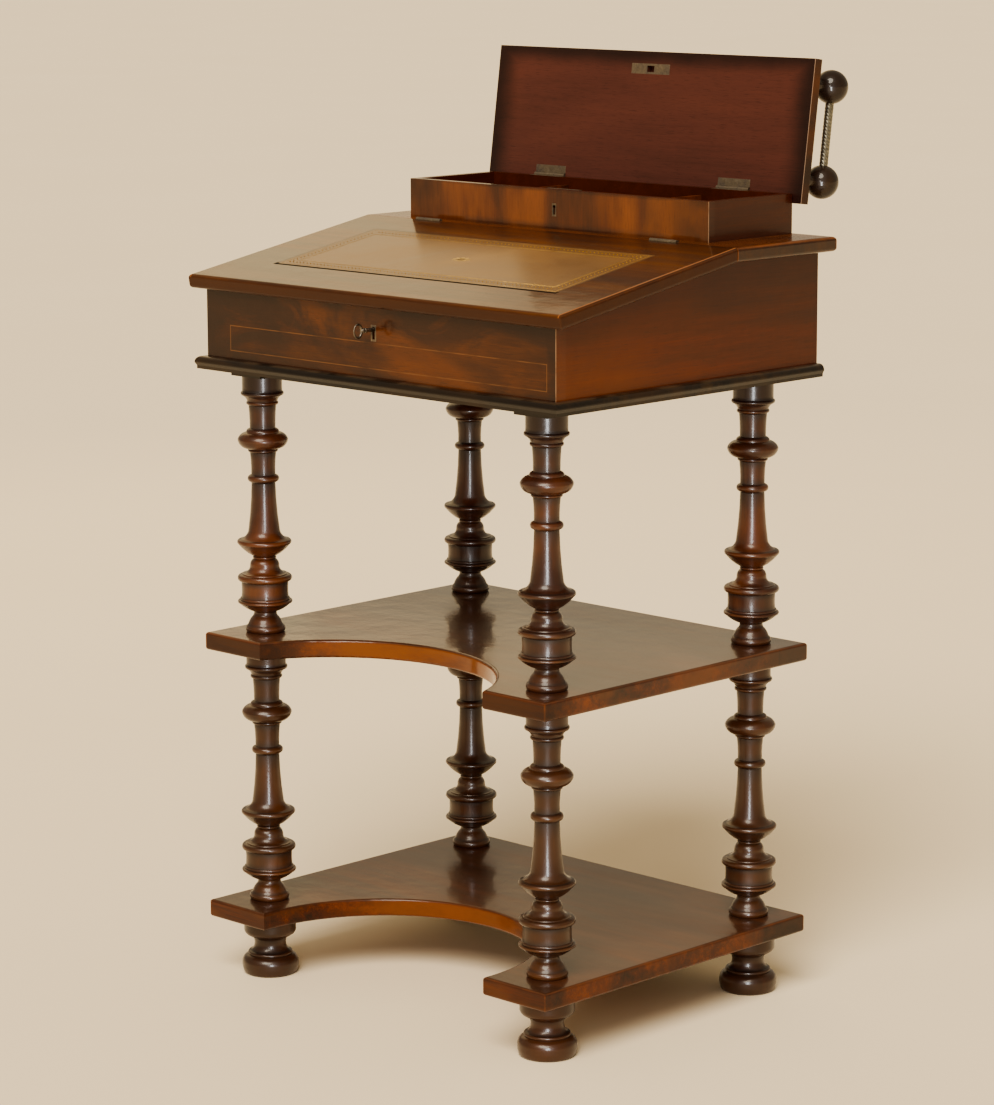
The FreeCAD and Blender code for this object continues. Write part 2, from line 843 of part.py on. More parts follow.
def lock_case(label, wide, high, deep, face_y, top_z, bolt):
    """A box lock's case, open towards the wood, with a slot in its top for the bolt."""
    wall = "lock_wall"
    low_z = f"{top_z} - {high}"
    shell = board(label + "_shell", wide, deep, high, f"-{wide} / 2", face_y, low_z)
    hollow = board(
        label + "_hollow",
        f"{wide} - 2 * {wall}",
        f"{deep} - {wall}",
        f"{high} - 2 * {wall}",
        f"{wall} - {wide} / 2",
        face_y,
        f"{low_z} + {wall}",
    )
    bolt_wide, bolt_thick, setback = bolt
    slot = board(
        label + "_slot",
        f"{bolt_wide} + 2 * bolt_fit",
        f"{bolt_thick} + 2 * bolt_fit",
        f"2 * {wall}",
        f"-{bolt_wide} / 2 - bolt_fit",
        f"{face_y} + {setback} - bolt_fit",
        f"{top_z} - 1.5 * {wall}",
    )
    return piece(cut(shell, [hollow, slot]), label)


def escutcheon(label, wide, drop, rise, face_y, level, round_radius, slot_wide, slot_drop):
    """A thread escutcheon: a small upright plate with a round-headed keyhole."""
    low = f"{level} - {drop}"
    plate = board(label + "_plate", wide, "plate_thick", f"{rise} + {drop}", f"-{wide} / 2", face_y, low)
    eye = drum(label + "_eye", round_radius, "plate_thick", "0", face_y, level, "y")
    slot_left = f"-({slot_wide}) / 2"
    slot_low = f"{level} - {slot_drop}"
    slot = board(label + "_slot", slot_wide, "plate_thick", slot_drop, slot_left, face_y, slot_low)
    return piece(cut(plate, [eye, slot]), label)


lock_face = "front_thick - case_front"
front_top = rest_line(front_inside)
lock_top = f"{round(front_top, 4)} - lock_drop"
desk_bolt_size = ("bolt_width", "bolt_thick", "bolt_setback")
lock_case("desk_lock_case", "lock_width", "lock_height", "lock_depth", lock_face, lock_top, desk_bolt_size)
piece(
    board(
        "desk_lock_bolt",
        "bolt_width",
        "bolt_thick",
        "bolt_height",
        "-bolt_width / 2",
        f"{lock_face} + bolt_setback",
        f"{lock_top} - bolt_height",
    ),
    "desk_lock_bolt",
)
slot_width = "bit_thick + 2 * keyhole_fit"
escutcheon(
    "desk_escutcheon",
    "plate_width",
    "plate_drop",
    "plate_rise",
    "-case_front",
    key_level,
    keyway,
    slot_width,
    "keyhole_drop",
)


def bow_ring(middle):
    """Flat oval ring that the fingers hold, standing in the plane across X."""
    high = size("bow_height") / 2
    wide = size("bow_radius")
    wire = size("bow_wire")
    discs = []
    for inset in (0.0, wire):
        rim = Part.Ellipse(FreeCAD.Vector(), high - inset, wide - inset)
        discs.append(Part.Face(Part.Wire(rim.toShape())).extrude(FreeCAD.Vector(0, 0, wire)))
    ring = discs[0].cut(discs[1])
    ring.translate(FreeCAD.Vector(0, 0, -wire / 2))
    ring.Placement = FreeCAD.Placement(middle, FreeCAD.Rotation(FreeCAD.Vector(0, 1, 0), 90)) * ring.Placement
    return ring


def key_shape():
    """Pin key lying along Y, its ring bow towards the sitter and its bit hanging down."""
    radius = size("key_radius")
    length = size("key_length")
    bow = size("bow_radius")
    tip = FreeCAD.Vector(0, size("key_tip"), 0)
    toward = FreeCAD.Vector(0, -1, 0)
    shank = Part.makeCylinder(radius, length - 2 * bow, tip, toward)
    collar_at = tip + toward * (length - 2 * bow - 3.0)
    collar = Part.makeCylinder(radius + 1.0, 1.6, collar_at, toward)
    middle = tip + toward * (length - bow)
    ring = bow_ring(middle)
    bit_start = FreeCAD.Vector(-size("bit_thick") / 2, size("key_tip") - size("bit_back"), -size("bit_reach"))
    bit = Part.makeBox(size("bit_thick"), size("bit_width"), size("bit_reach"), bit_start)
    ward = Part.makeBox(size("bit_thick"), 1.2, 2.5, bit_start + FreeCAD.Vector(0, 2.4, 0))
    return shank.multiFuse([collar, ring, bit.cut(ward)]).removeSplitter()


key = doc.addObject("Part::Feature", "desk_key")
key.Shape = key_shape()
key.Placement.Base = FreeCAD.Vector(0, size("mid_y") + front_inside, case_level + size("key_height"))
piece(key, "desk_key")

# ---- stationery box ----------------------------------------------------------------------------------

tray_left = "-tray_width / 2"
tray_inner = "tray_width - 2 * tray_side"
tray_inside_left = "tray_side - tray_width / 2"
tray_run = "tray_back - tray_front - tray_wall"

small_key_level = "top_level + small_key_height"
tray_front_blank = board(
    "stationery_front_blank", "tray_width", "tray_wall", "tray_height", tray_left, "tray_front", "top_level"
)
small_eye = drum(
    "small_keyhole_round", "small_keyhole_radius", "tray_wall", "0", "tray_front", small_key_level, "y"
)
small_slot = board(
    "small_keyhole_slot",
    "1.2 * small_keyhole_radius",
    "tray_wall",
    "small_keyhole_drop",
    "-0.6 * small_keyhole_radius",
    "tray_front",
    f"{small_key_level} - small_keyhole_drop",
)
small_seat = board(
    "small_escutcheon_seat",
    "small_plate_width",
    "plate_thick",
    "small_plate_rise + small_plate_drop",
    "-small_plate_width / 2",
    "tray_front",
    f"{small_key_level} - small_plate_drop",
)
piece(cut(tray_front_blank, [small_eye, small_slot, small_seat]), "stationery_front")
escutcheon(
    "stationery_escutcheon",
    "small_plate_width",
    "small_plate_drop",
    "small_plate_rise",
    "tray_front",
    small_key_level,
    "small_keyhole_radius",
    "1.2 * small_keyhole_radius",
    "small_keyhole_drop",
)

for side, x in (("left", tray_left), ("right", "tray_width / 2 - tray_side")):
    name = f"stationery_{side}"
    wall = board(name, "tray_side", tray_run, "tray_height", x, "tray_front + tray_wall", "top_level")
    piece(wall, name)

tray_back_blank = board(
    "stationery_back_blank",
    tray_inner,
    "tray_wall",
    "tray_height",
    tray_inside_left,
    "tray_back - tray_wall",
    "top_level",
)
back_leaf_seats = [
    board(
        f"back_leaf_seat_{hand}",
        "lid_hinge_length",
        "lid_hinge_leaf",
        "leaf_thick",
        f"{sign} * lid_hinge_spread / 2 - lid_hinge_length / 2",
        "axis_y - lid_hinge_leaf",
        "rim_level - leaf_thick",
    )
    for hand, sign in (("left", -1), ("right", 1))
]
piece(cut(tray_back_blank, back_leaf_seats), "stationery_back")

tray_room = "tray_back - tray_front - 2 * tray_wall"
piece(
    board(
        "stationery_floor",
        tray_inner,
        tray_room,
        "tray_floor",
        tray_inside_left,
        "tray_front + tray_wall",
        "top_level",
    ),
    "stationery_floor",
)
for side, sign in (("left", -1), ("right", 1)):
    name = f"stationery_divider_{side}"
    piece(
        board(
            name,
            "divider_thick",
            tray_room,
            "tray_height - tray_floor - divider_drop",
            f"{sign} * divider_spread / 2 - divider_thick / 2",
            "tray_front + tray_wall",
            "top_level + tray_floor",
        ),
        name,
    )

pen_blank = board(
    "pen_rest_blank",
    "rest_length",
    "rest_width",
    "rest_height",
    "-rest_length / 2",
    "tray_back - tray_wall - rest_width",
    "top_level + tray_floor",
)
pen_trough = drum(
    "pen_trough",
    "rest_trough",
    "rest_length - 16",
    "8 - rest_length / 2",
    "tray_back - tray_wall - rest_width / 2",
    "top_level + tray_floor + rest_height + 2",
    "x",
)
piece(cut(pen_blank, [pen_trough]), "pen_tray")

small_face = "tray_front + tray_wall"
small_top = "rim_level - 0.3"
small_bolt_size = ("small_bolt_width", "small_bolt_thick", "small_bolt_setback")
lock_case(
    "stationery_lock_case",
    "small_lock_width",
    "small_lock_height",
    "small_lock_depth",
    small_face,
    small_top,
    small_bolt_size,
)
piece(
    board(
        "stationery_lock_bolt",
        "small_bolt_width",
        "small_bolt_thick",
        "small_bolt_height",
        "-small_bolt_width / 2",
        f"{small_face} + small_bolt_setback",
        f"{small_top} - small_bolt_height",
    ),
    "stationery_lock_bolt",
)

# ---- lid of the stationery box, standing open ----------------------------------------------------------

lid_under = "joint_gap / 2"
half_lid = size("lid_width") / 2
lid_front = -size("lid_reach")
lid_rear = size("lid_overhang")
lid_blank = padded(
    "lid_board_blank",
    "XY_Plane",
    [(-half_lid, lid_front), (-half_lid, lid_rear), (half_lid, lid_rear), (half_lid, lid_front)],
    "lid_thick",
)


def is_upper_arris(edge):
    """Arrises round the lid's upper face."""
    return edge.BoundBox.ZMin > size("lid_thick") - 0.01


rounded(lid_blank, "lid_round", is_upper_arris)
on_lid(lid_blank, "0", "0", lid_under)

lid_seats = []
for hand, sign in (("left", -1), ("right", 1)):
    leaf_seat = block(f"lid_leaf_seat_{hand}", "lid_hinge_length", "lid_hinge_leaf", "leaf_thick")
    seat_x = f"{sign} * lid_hinge_spread / 2 - lid_hinge_length / 2"
    lid_seats.append(on_lid(leaf_seat, seat_x, "lid_hinge_leaf", lid_under))
    lid_seats.append(
        drum(
            f"lid_barrel_seat_{hand}",
            "barrel_radius + hinge_clear",
            "lid_hinge_length + 2 * hinge_clear",
            f"{seat_x} - hinge_clear",
            "axis_y",
            "axis_z",
            "x",
        )
    )

small_bolt_reach = f"axis_y - ({small_face}) - small_bolt_setback - small_bolt_thick / 2"
lid_strike_seat = block("lid_strike_seat", "strike_width", "strike_depth", "strike_thick")
on_lid(lid_strike_seat, "-strike_width / 2", f"{small_bolt_reach} + strike_depth / 2", lid_under)
lid_bolt_room = block("lid_bolt_room", "small_bolt_width + 3", "small_bolt_thick + 3", "strike_room")
lid_slot_left = "-small_bolt_width / 2 - 1.5"
lid_slot_reach = f"{small_bolt_reach} + small_bolt_thick / 2 + 1.5"
on_lid(lid_bolt_room, lid_slot_left, lid_slot_reach, lid_under)
piece(cut(lid_blank, lid_seats + [lid_strike_seat, lid_bolt_room]), "lid_board")

lid_strike_blank = block("lid_strike_blank", "strike_width", "strike_depth", "strike_thick")
on_lid(lid_strike_blank, "-strike_width / 2", f"{small_bolt_reach} + strike_depth / 2", lid_under)
lid_strike_slot = block("lid_strike_slot", "small_bolt_width + 3", "small_bolt_thick + 3", "strike_thick")
on_lid(lid_strike_slot, lid_slot_left, lid_slot_reach, lid_under)
piece(cut(lid_strike_blank, [lid_strike_slot]), "lid_lock_strike")

# ---- gallery on the lid ----------------------------------------------------------------------------------

lid_top = "joint_gap / 2 + lid_thick"
ball = size("ball_radius")
ball_height = size("ball_height")
stem = size("stem_radius")
waist = math.sqrt(ball**2 - stem**2)
rail_bore = size("rail_radius") + size("tenon_fit")
rail_seat = ball - size("rail_bite")


def finial_outline():
    """Ball on a short stem with a spread foot."""
    return [
        (0, 0),
        (stem + 3.0, 0),
        (stem + 3.0, 1.6),
        (stem, 3.4),
        (stem, ball_height - waist),
        (ball, ball_height, 0, ball_height + ball),
    ]


def finial(label, sign_x, reach, rod_ways):
    """A turned finial; rod_ways are the directions in which rail sockets are bored."""
    body = turned(label + "_turning", finial_outline())
    body_x = f"{sign_x} * (lid_width / 2 - ball_inset_x)"
    on_lid(body, body_x, reach, lid_top)
    for number, way in enumerate(rod_ways):
        bored = body.newObject("PartDesign::SubtractiveCylinder", f"{label}Socket{number}")
        bored.Radius = rail_bore
        bored.Height = ball
        start = FreeCAD.Vector(way[0] * rail_seat, way[1] * rail_seat, ball_height)
        turn = FreeCAD.Rotation(FreeCAD.Vector(0, 0, 1), FreeCAD.Vector(way[0], way[1], 0))
        bored.Placement = FreeCAD.Placement(start, turn)
    return piece(body, label)


for side, sign in (("left", -1), ("right", 1)):
    finial(f"gallery_ball_front_{side}", sign, "ball_reach", [(0, 1)])
    finial(f"gallery_ball_rear_{side}", sign, "back_ball_reach", [(0, -1), (-sign, 0)])


def gallery_rail(label, length, x, reach, along):
    """A brass rail between two balls, its ends in their sockets."""
    item = doc.addObject("Part::Cylinder", label)
    link(item, "Radius", "rail_radius")
    link(item, "Height", length)
    rise = f"{lid_top} + ball_height"
    on_lid(item, x, reach, rise)
    if along == "x":
        item.setExpression("Placement.Rotation.Angle", None)
        item.Placement.Rotation = FreeCAD.Rotation(FreeCAD.Vector(0, 1, 0), 90)
    else:
        link(item, "Placement.Rotation.Angle", "-lid_open - 90")
    return piece(item, label)


rod_end = "(ball_radius - rail_bite + 0.3)"
side_rail = f"ball_reach - back_ball_reach - 2 * {rod_end}"
for side, sign in (("left", -1), ("right", 1)):
    gallery_rail(
        f"gallery_rail_{side}",
        side_rail,
        f"{sign} * (lid_width / 2 - ball_inset_x)",
        f"ball_reach - {rod_end}",
        "y",
    )
gallery_rail(
    "gallery_rail_rear",
    f"lid_width - 2 * ball_inset_x - 2 * {rod_end}",
    f"ball_inset_x + {rod_end} - lid_width / 2",
    "back_ball_reach",
    "x",
)

# ---- check and write ---------------------------------------------------------------------------------------

doc.recompute()
for item in doc.Objects:
    if "Invalid" in item.State or "Error" in item.State:
        raise SystemExit(f"{item.Label} failed: {item.State}")
os.makedirs("parts", exist_ok=True)
for item in parts:
    if item.Shape.isNull() or not item.Shape.isValid():
        raise SystemExit(f"{item.Label} has no valid shape")
for item in parts:
    item.Shape.exportStep(f"parts/{item.Label}.step")
    print(item.Label, len(item.Shape.Solids), round(item.Shape.Volume / 1000.0, 2), "cm3")
print(len(parts), "sub-parts written")
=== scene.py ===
import json
import math

import bmesh
import bpy
from mathutils import Matrix, Vector


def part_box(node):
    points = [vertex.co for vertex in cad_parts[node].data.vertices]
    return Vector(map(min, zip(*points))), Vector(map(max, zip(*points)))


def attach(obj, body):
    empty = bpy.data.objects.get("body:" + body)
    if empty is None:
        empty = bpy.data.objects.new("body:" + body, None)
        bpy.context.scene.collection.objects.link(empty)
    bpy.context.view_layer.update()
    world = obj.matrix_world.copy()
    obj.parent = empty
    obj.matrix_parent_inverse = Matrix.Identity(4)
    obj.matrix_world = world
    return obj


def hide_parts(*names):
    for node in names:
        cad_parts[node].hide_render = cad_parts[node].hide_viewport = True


# Davenport writing desk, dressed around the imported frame. Metres, +Z up, -Y the sitter's side.

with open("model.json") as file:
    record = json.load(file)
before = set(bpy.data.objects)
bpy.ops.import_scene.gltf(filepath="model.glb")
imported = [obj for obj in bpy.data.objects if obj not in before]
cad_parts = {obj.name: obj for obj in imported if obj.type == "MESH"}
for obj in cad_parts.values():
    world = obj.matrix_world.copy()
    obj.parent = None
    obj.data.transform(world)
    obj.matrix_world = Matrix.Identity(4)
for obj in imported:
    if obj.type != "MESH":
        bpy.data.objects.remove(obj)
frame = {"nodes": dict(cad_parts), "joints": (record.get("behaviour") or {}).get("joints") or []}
nodes = frame["nodes"]
joints = {joint["name"]: joint for joint in frame["joints"]}
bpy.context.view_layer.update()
print("stage: frame loaded", len(nodes), "nodes")

corners = ["front_left", "front_right", "rear_left", "rear_right"]
slopePitch = math.radians(10)
lidOpen = math.radians(98)
slopeAxis = Vector(joints["slope_hinge"]["pos_m"])
lidAxis = Vector(joints["lid_hinge"]["pos_m"])
# on the slope y runs up to its hinge, and on the lid -y runs to its front edge
onSlope = Matrix.Translation(slopeAxis) @ Matrix.Rotation(slopePitch, 4, "X")
onLid = Matrix.Translation(lidAxis) @ Matrix.Rotation(-lidOpen, 4, "X")


def middleOf(node):
    low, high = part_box(node)
    return (low + high) / 2


def added(name, data):
    item = bpy.data.objects.new(name, data)
    bpy.context.scene.collection.objects.link(item)
    return item


def tint(code):
    # a colour as painters' charts write it, made linear
    parts = [int(code[i:i + 2], 16) / 255 for i in (1, 3, 5)]
    return (*[c / 12.92 if c <= 0.04045 else ((c + 0.055) / 1.055) ** 2.4 for c in parts], 1.0)


# small helpers for node trees

def fill(tree, node, inputs):
    # a socket as a value is linked, anything else is set on the input itself
    for name, value in inputs.items():
        if isinstance(value, bpy.types.NodeSocket):
            tree.links.new(value, node.inputs[name])
        else:
            node.inputs[name].default_value = value


def put(tree, kind, inputs=None, **settings):
    node = tree.nodes.new(kind)
    for name, value in settings.items():
        setattr(node, name, value)
    fill(tree, node, inputs or {})
    return node


def calc(tree, operation, a, b=0.0):
    return put(tree, "ShaderNodeMath", {0: a, 1: b}, operation=operation).outputs[0]


def absolute(tree, value):
    return calc(tree, "ABSOLUTE", value)


def chained(operation):
    # one operation over two or more values, from left to right
    def run(tree, value, *others):
        for other in others:
            value = calc(tree, operation, value, other)
        return value

    return run


plus, minus, times = chained("ADD"), chained("SUBTRACT"), chained("MULTIPLY")
most, least = chained("MAXIMUM"), chained("MINIMUM")


def apart(tree, a, b):
    return absolute(tree, minus(tree, a, b))


def axes(tree, coords):
    return put(tree, "ShaderNodeSeparateXYZ", {0: coords}).outputs


def spanned(tree, value, low, high, outLow=0.0, outHigh=1.0, soft=True):
    # the value's way from low to high, as a way from outLow to outHigh
    kind = "SMOOTHSTEP" if soft else "LINEAR"
    inputs = {"Value": value, "From Min": low, "From Max": high, "To Min": outLow, "To Max": outHigh}
    return put(tree, "ShaderNodeMapRange", inputs, interpolation_type=kind).outputs["Result"]


def mixed(tree, factor, a, b):
    return put(tree, "ShaderNodeMix", {0: factor, 6: a, 7: b}, data_type="RGBA").outputs[2]


def stained(tree, factor, colour, code):
    return mixed(tree, factor, colour, tint(code))


def ramped(tree, factor, stops):
    node = put(tree, "ShaderNodeValToRGB", {"Fac": factor})
    elements = node.color_ramp.elements
    elements[0].position, elements[1].position = stops[0][0], stops[-1][0]
    elements[0].color, elements[1].color = tint(stops[0][1]), tint(stops[-1][1])
    for place, code in stops[1:-1]:
        elements.new(place).color = tint(code)
    return node.outputs["Color"]


def cloud(tree, vector, scale, detail=3.0, rough=0.55, twist=0.0):
    inputs = {"Vector": vector, "Scale": scale, "Detail": detail, "Roughness": rough, "Distortion": twist}
    return put(tree, "ShaderNodeTexNoise", inputs).outputs["Fac"]


def patchy(tree, coords, scale, detail, start, end, outLow=0.0, outHigh=1.0):
    # soft patches: the cloud's values from start to end become outLow to outHigh
    return spanned(tree, cloud(tree, coords, scale, detail), start, end, outLow, outHigh)


def objectCoords(tree, pivot=None):
    coords = put(tree, "ShaderNodeTexCoord").outputs["Object"]
    if pivot is None:
        return coords
    inputs = {"Vector": coords, "Location": pivot.translation, "Rotation": pivot.to_euler()}
    return put(tree, "ShaderNodeMapping", inputs, vector_type="TEXTURE").outputs[0]


def stretched(tree, vector, scale, shift=(0, 0, 0)):
    inputs = {"Vector": vector, "Scale": scale, "Location": shift}
    return put(tree, "ShaderNodeMapping", inputs).outputs[0]


def bumped(tree, strength, depth, height, under=None):
    inputs = {"Strength": strength, "Distance": depth, "Height": height}
    if under is not None:
        inputs["Normal"] = under
    return put(tree, "ShaderNodeBump", inputs).outputs[0]


def newMaterial(name):
    material = bpy.data.materials.new(name)
    material.use_nodes = True
    tree = material.node_tree
    tree.nodes.clear()
    shader = put(tree, "ShaderNodeBsdfPrincipled")
    put(tree, "ShaderNodeOutputMaterial", {0: shader.outputs[0]})
    return material, tree, shader


def dress(material, *names):
    for name in names:
        slots = nodes[name].data.materials
        for place in range(len(slots)):
            slots[place] = material
        if not len(slots):
            slots.append(material)


# masks that follow a board's own edges; in the finishes below, a pair gives where a mask starts and ends,
# and what ends in Most is the strongest that a stain gets

lineBlur = 0.15  # share of a line's width that either edge fades over


def edgeWearAndSheen(tree, coords, box, width):
    # strong along the arrises of a box, where two of its faces meet
    near = []
    for value, low, high in zip(axes(tree, coords), *box):
        away = apart(tree, value, (low + high) / 2)
        near.append(spanned(tree, minus(tree, (high - low) / 2, away), 0.0, width, 1.0, 0.0))
    return most(tree, *[times(tree, near[i], near[(i + 1) % 3]) for i in range(3)])


def frameLine(tree, first, second, box, width):
    # a thin rectangular line in two coordinates
    (a0, b0), (a1, b1) = box
    overA = minus(tree, apart(tree, first, (a0 + a1) / 2), (a1 - a0) / 2)
    overB = minus(tree, apart(tree, second, (b0 + b1) / 2), (b1 - b0) / 2)
    far = absolute(tree, most(tree, overA, overB))
    return spanned(tree, far, width * (0.5 - lineBlur), width * (0.5 + lineBlur), 1.0, 0.0)


# polished wood: coloured in layers along its grain, under a coat of french polish

polish = dict(ior=1.4, waveScale=32.0, grainDepth=0.0002)
# the arrises' lightening, rubbed wear with a painted highlight
rubbingAndSheen = dict(patches=(38.0, 4.0, 0.6), span=(0.38, 0.62), thinnest=0.25, rougher=0.1)


def oldPolish(along, dark, body, glow, **changes):
    # the finish that all of the woods share, with what differs for one of them;
    # a layer's two scales run along the grain and across it
    wood = dict(
        along=along, dark=dark, body=body, glow=glow, toneSpan=(0.32, 0.68), shares=(0.55, 0.3, 0.75),
        streak=(5, 130), fine=(22, 620), figure=(3, 16), patch=(6, 11), pores=(70, 1900), sway=0.8,
        amber=0.4, amberTint=glow, amberFrom=0.52, amberSoft=0.18,
        poreTint="#140a06", poreSpan=(0.30, 0.40), poreDepth=0.35,
        gloss=0.36, haze=0.2, relief=0.15, waves=0.0003, shine=0.2, coat=0.9, coatRough=0.08,
    )
    wood.update(changes)
    return wood


def woodColour(tree, coords, wood):
    # streaks along the grain, a soft figure, pores, and amber where the polish has thinned
    def laid(name, shift, detail, rough, twist=0.0):
        scale = [wood[name][1]] * 3
        scale["xyz".index(wood["along"])] = wood[name][0]
        return cloud(tree, stretched(tree, coords, scale, shift), 1.0, detail, rough, twist)

    streak = laid("streak", (0.3, 0.7, 0.2), 4.0, 0.6, 0.15)
    fine = laid("fine", (5.3, 2.7, 1.2), 3.0, 0.6)
    figure = laid("figure", (3.1, 1.7, 5.3), 3.0, 0.5, wood["sway"])
    patch = laid("patch", (8.2, 4.4, 2.6), 2.0, 0.5, 0.4)
    pores = laid("pores", (1.9, 6.1, 3.3), 1.0, 0.5)
    tone = 0.5
    for layer, share in zip((streak, fine, figure), wood["shares"]):
        tone = plus(tree, tone, times(tree, minus(tree, layer, 0.5), share))
    low, high = wood["toneSpan"]
    colour = ramped(tree, tone, [(low, wood["dark"]), (0.5, wood["body"]), (high, wood["glow"])])
    thinned = spanned(tree, patch, wood["amberFrom"], wood["amberFrom"] + wood["amberSoft"])
    colour = stained(tree, times(tree, thinned, wood["amber"]), colour, wood["amberTint"])
    pits = spanned(tree, pores, *wood["poreSpan"], 1.0, 0.0)
    colour = stained(tree, times(tree, pits, wood["poreDepth"]), colour, wood["poreTint"])
    rough = plus(tree, wood["gloss"], times(tree, minus(tree, figure, 0.5), wood["haze"]))
    return colour, rough, minus(tree, times(tree, fine, 0.5), pits)


def polishedWood(name, wood, pivot=None, extra=None):
    material, tree, shader = newMaterial(name)
    coords = objectCoords(tree, pivot)
    colour, rough, height = woodColour(tree, coords, wood)
    coat = wood["coat"]
    if extra:
        colour, rough, *bare = extra(tree, coords, colour, rough)
        if bare:
            coat = times(tree, minus(tree, 1.0, bare[0]), coat)
    uneven = bumped(tree, 1.0, wood["waves"], cloud(tree, coords, polish["waveScale"]))
    fill(tree, shader, {
        "Base Color": colour,
        "Roughness": rough,
        "Normal": bumped(tree, wood["relief"], polish["grainDepth"], height, uneven),
        "Specular IOR Level": wood["shine"],
        "Coat Weight": coat,
        "Coat Normal": uneven,
        "Coat IOR": polish["ior"],
        "Coat Roughness": wood["coatRough"],
    })
    return material


def wornAndSheen(tree, coords, colour, rough, box, width, code, amount):
    # lightens a board's arrises: partly rubbed wear, partly a painted highlight
    patches = cloud(tree, coords, *rubbingAndSheen["patches"])
    broken = spanned(tree, patches, *rubbingAndSheen["span"], rubbingAndSheen["thinnest"], 1.0)
    mask = times(tree, edgeWearAndSheen(tree, coords, box, width), amount, broken)
    return stained(tree, mask, colour, code), plus(tree, rough, times(tree, mask, rubbingAndSheen["rougher"]))


# turned work: one outline for the feet, one for the columns, spun round each middle; each step of an
# outline is a (radius, height) to go straight to, or a point to pass on an arc and then the arc's end

turning = dict(
    sides=112,
    arcStep=math.radians(9),
    longestRun=0.004,
    sharpest=math.radians(38),
    wearReach=0.0035,
    fullWear=0.0012,
    foot=[
        (0.0, 0.0),
        (0.0252, 0.0),
        (0.0277, 0.0008, 0.0289, 0.0030),
        (0.0299, 0.0068, 0.0300, 0.0108),
        (0.0289, 0.0163, 0.0244, 0.0201),
        (0.0231, 0.0207),
        (0.0237, 0.0224, 0.0219, 0.0240),
        (0.0204, 0.0244),
        (0.0169, 0.0310, 0.0176, 0.0374),
        (0.0193, 0.0398, 0.0226, 0.0411),
        (0.0235, 0.0418),
        (0.0266, 0.0442, 0.0278, 0.0484),
        (0.0278, 0.0620),
    ],
    column=[
        (0.0194, 0.0),
        (0.0209, 0.0034, 0.0194, 0.0070),
        (0.0184, 0.0077),
        (0.0168, 0.0120, 0.0144, 0.0156),
        (0.0124, 0.0184, 0.0120, 0.0214),
        (0.0127, 0.0221),
        (0.0216, 0.0264, 0.0272, 0.0310),
        (0.0287, 0.0327, 0.0272, 0.0342),
        (0.0260, 0.0346),
        (0.0262, 0.0357, 0.0257, 0.0367),
        (0.0247, 0.0373),
        (0.0244, 0.0456, 0.0247, 0.0538),
        (0.0256, 0.0544),
        (0.0286, 0.0578, 0.0260, 0.0612),
        (0.0240, 0.0616),
        (0.0236, 0.0625),
        (0.0172, 0.0656, 0.0154, 0.0700),
        (0.0145, 0.0748, 0.0114, 0.0782),
        (0.0123, 0.0795, 0.0114, 0.0808),
        (0.0208, 0.0870, 0.0272, 0.0938),
        (0.0285, 0.0964, 0.0268, 0.0986),
        (0.0198, 0.1020, 0.0166, 0.1078),
        (0.0140, 0.1310, 0.0125, 0.1588),
        (0.0139, 0.1599),
        (0.0165, 0.1634, 0.0139, 0.1669),
        (0.0126, 0.1678),
        (0.0128, 0.1796, 0.0137, 0.1910),
        (0.0149, 0.1918),
        (0.0157, 0.1930, 0.0152, 0.1942),
        (0.0165, 0.1951),
        (0.0240, 0.1990, 0.0264, 0.2050),
        (0.0239, 0.2090, 0.0174, 0.2122),
        (0.0170, 0.2140, 0.0156, 0.2155),
        (0.0134, 0.2167),
        (0.0137, 0.2290, 0.0144, 0.2406),
        (0.0154, 0.2413),
        (0.0168, 0.2431, 0.0157, 0.2449),
        (0.0179, 0.2490, 0.0212, 0.2513),
        (0.0225, 0.2533, 0.0212, 0.2553),
        (0.0209, 0.2560),
        (0.0209, 0.2720),
    ],
)


def arcPoints(start, middle, end, step):
    # points of the circle through three (radius, height) points
    (ax, ay), (bx, by), (cx, cy) = start, middle, end
    bend = 2 * (ax * (by - cy) + bx * (cy - ay) + cx * (ay - by))
    if abs(bend) < 1e-12:  # the three are in line
        return [middle, end]
    a2, b2, c2 = ax * ax + ay * ay, bx * bx + by * by, cx * cx + cy * cy
    ux = (a2 * (by - cy) + b2 * (cy - ay) + c2 * (ay - by)) / bend
    uy = (a2 * (cx - bx) + b2 * (ax - cx) + c2 * (bx - ax)) / bend
    radius = math.hypot(ax - ux, ay - uy)
    first, mid, last = (math.atan2(y - uy, x - ux) for x, y in (start, middle, end))
    sweep = (last - first) % math.tau
    if (mid - first) % math.tau > sweep:
        sweep -= math.tau
    count = max(3, math.ceil(abs(sweep) / step))
    angles = [first + sweep * i / count for i in range(1, count + 1)]
    return [(ux + radius * math.cos(a), uy + radius * math.sin(a)) for a in angles]


def followed(outline):
    # line steps are kept, arc steps are rounded, and long runs are divided
    points = [outline[0]]
    for step in outline[1:]:
        here = points[-1]
        if len(step) == 4:
            points += arcPoints(here, step[:2], step[2:], turning["arcStep"])
            continue
        pieces = max(1, math.ceil(math.dist(here, step) / turning["longestRun"]))
        points += [tuple(h + (s - h) * i / pieces for h, s in zip(here, step)) for i in range(1, pieces + 1)]
    return points


def reliefOf(points):
    # how far each point stands out from, or lies in from, the outline's own average round it
    along = [0.0]
    for a, b in zip(points, points[1:]):
        along.append(along[-1] + math.dist(a, b))
    relief = []
    for place, (radius, _) in zip(along, points):
        near = [p for s, p in zip(along, points) if abs(s - place) < turning["wearReach"]]
        relief.append((radius - sum(p[0] for p in near) / len(near)) / turning["fullWear"])
    return relief


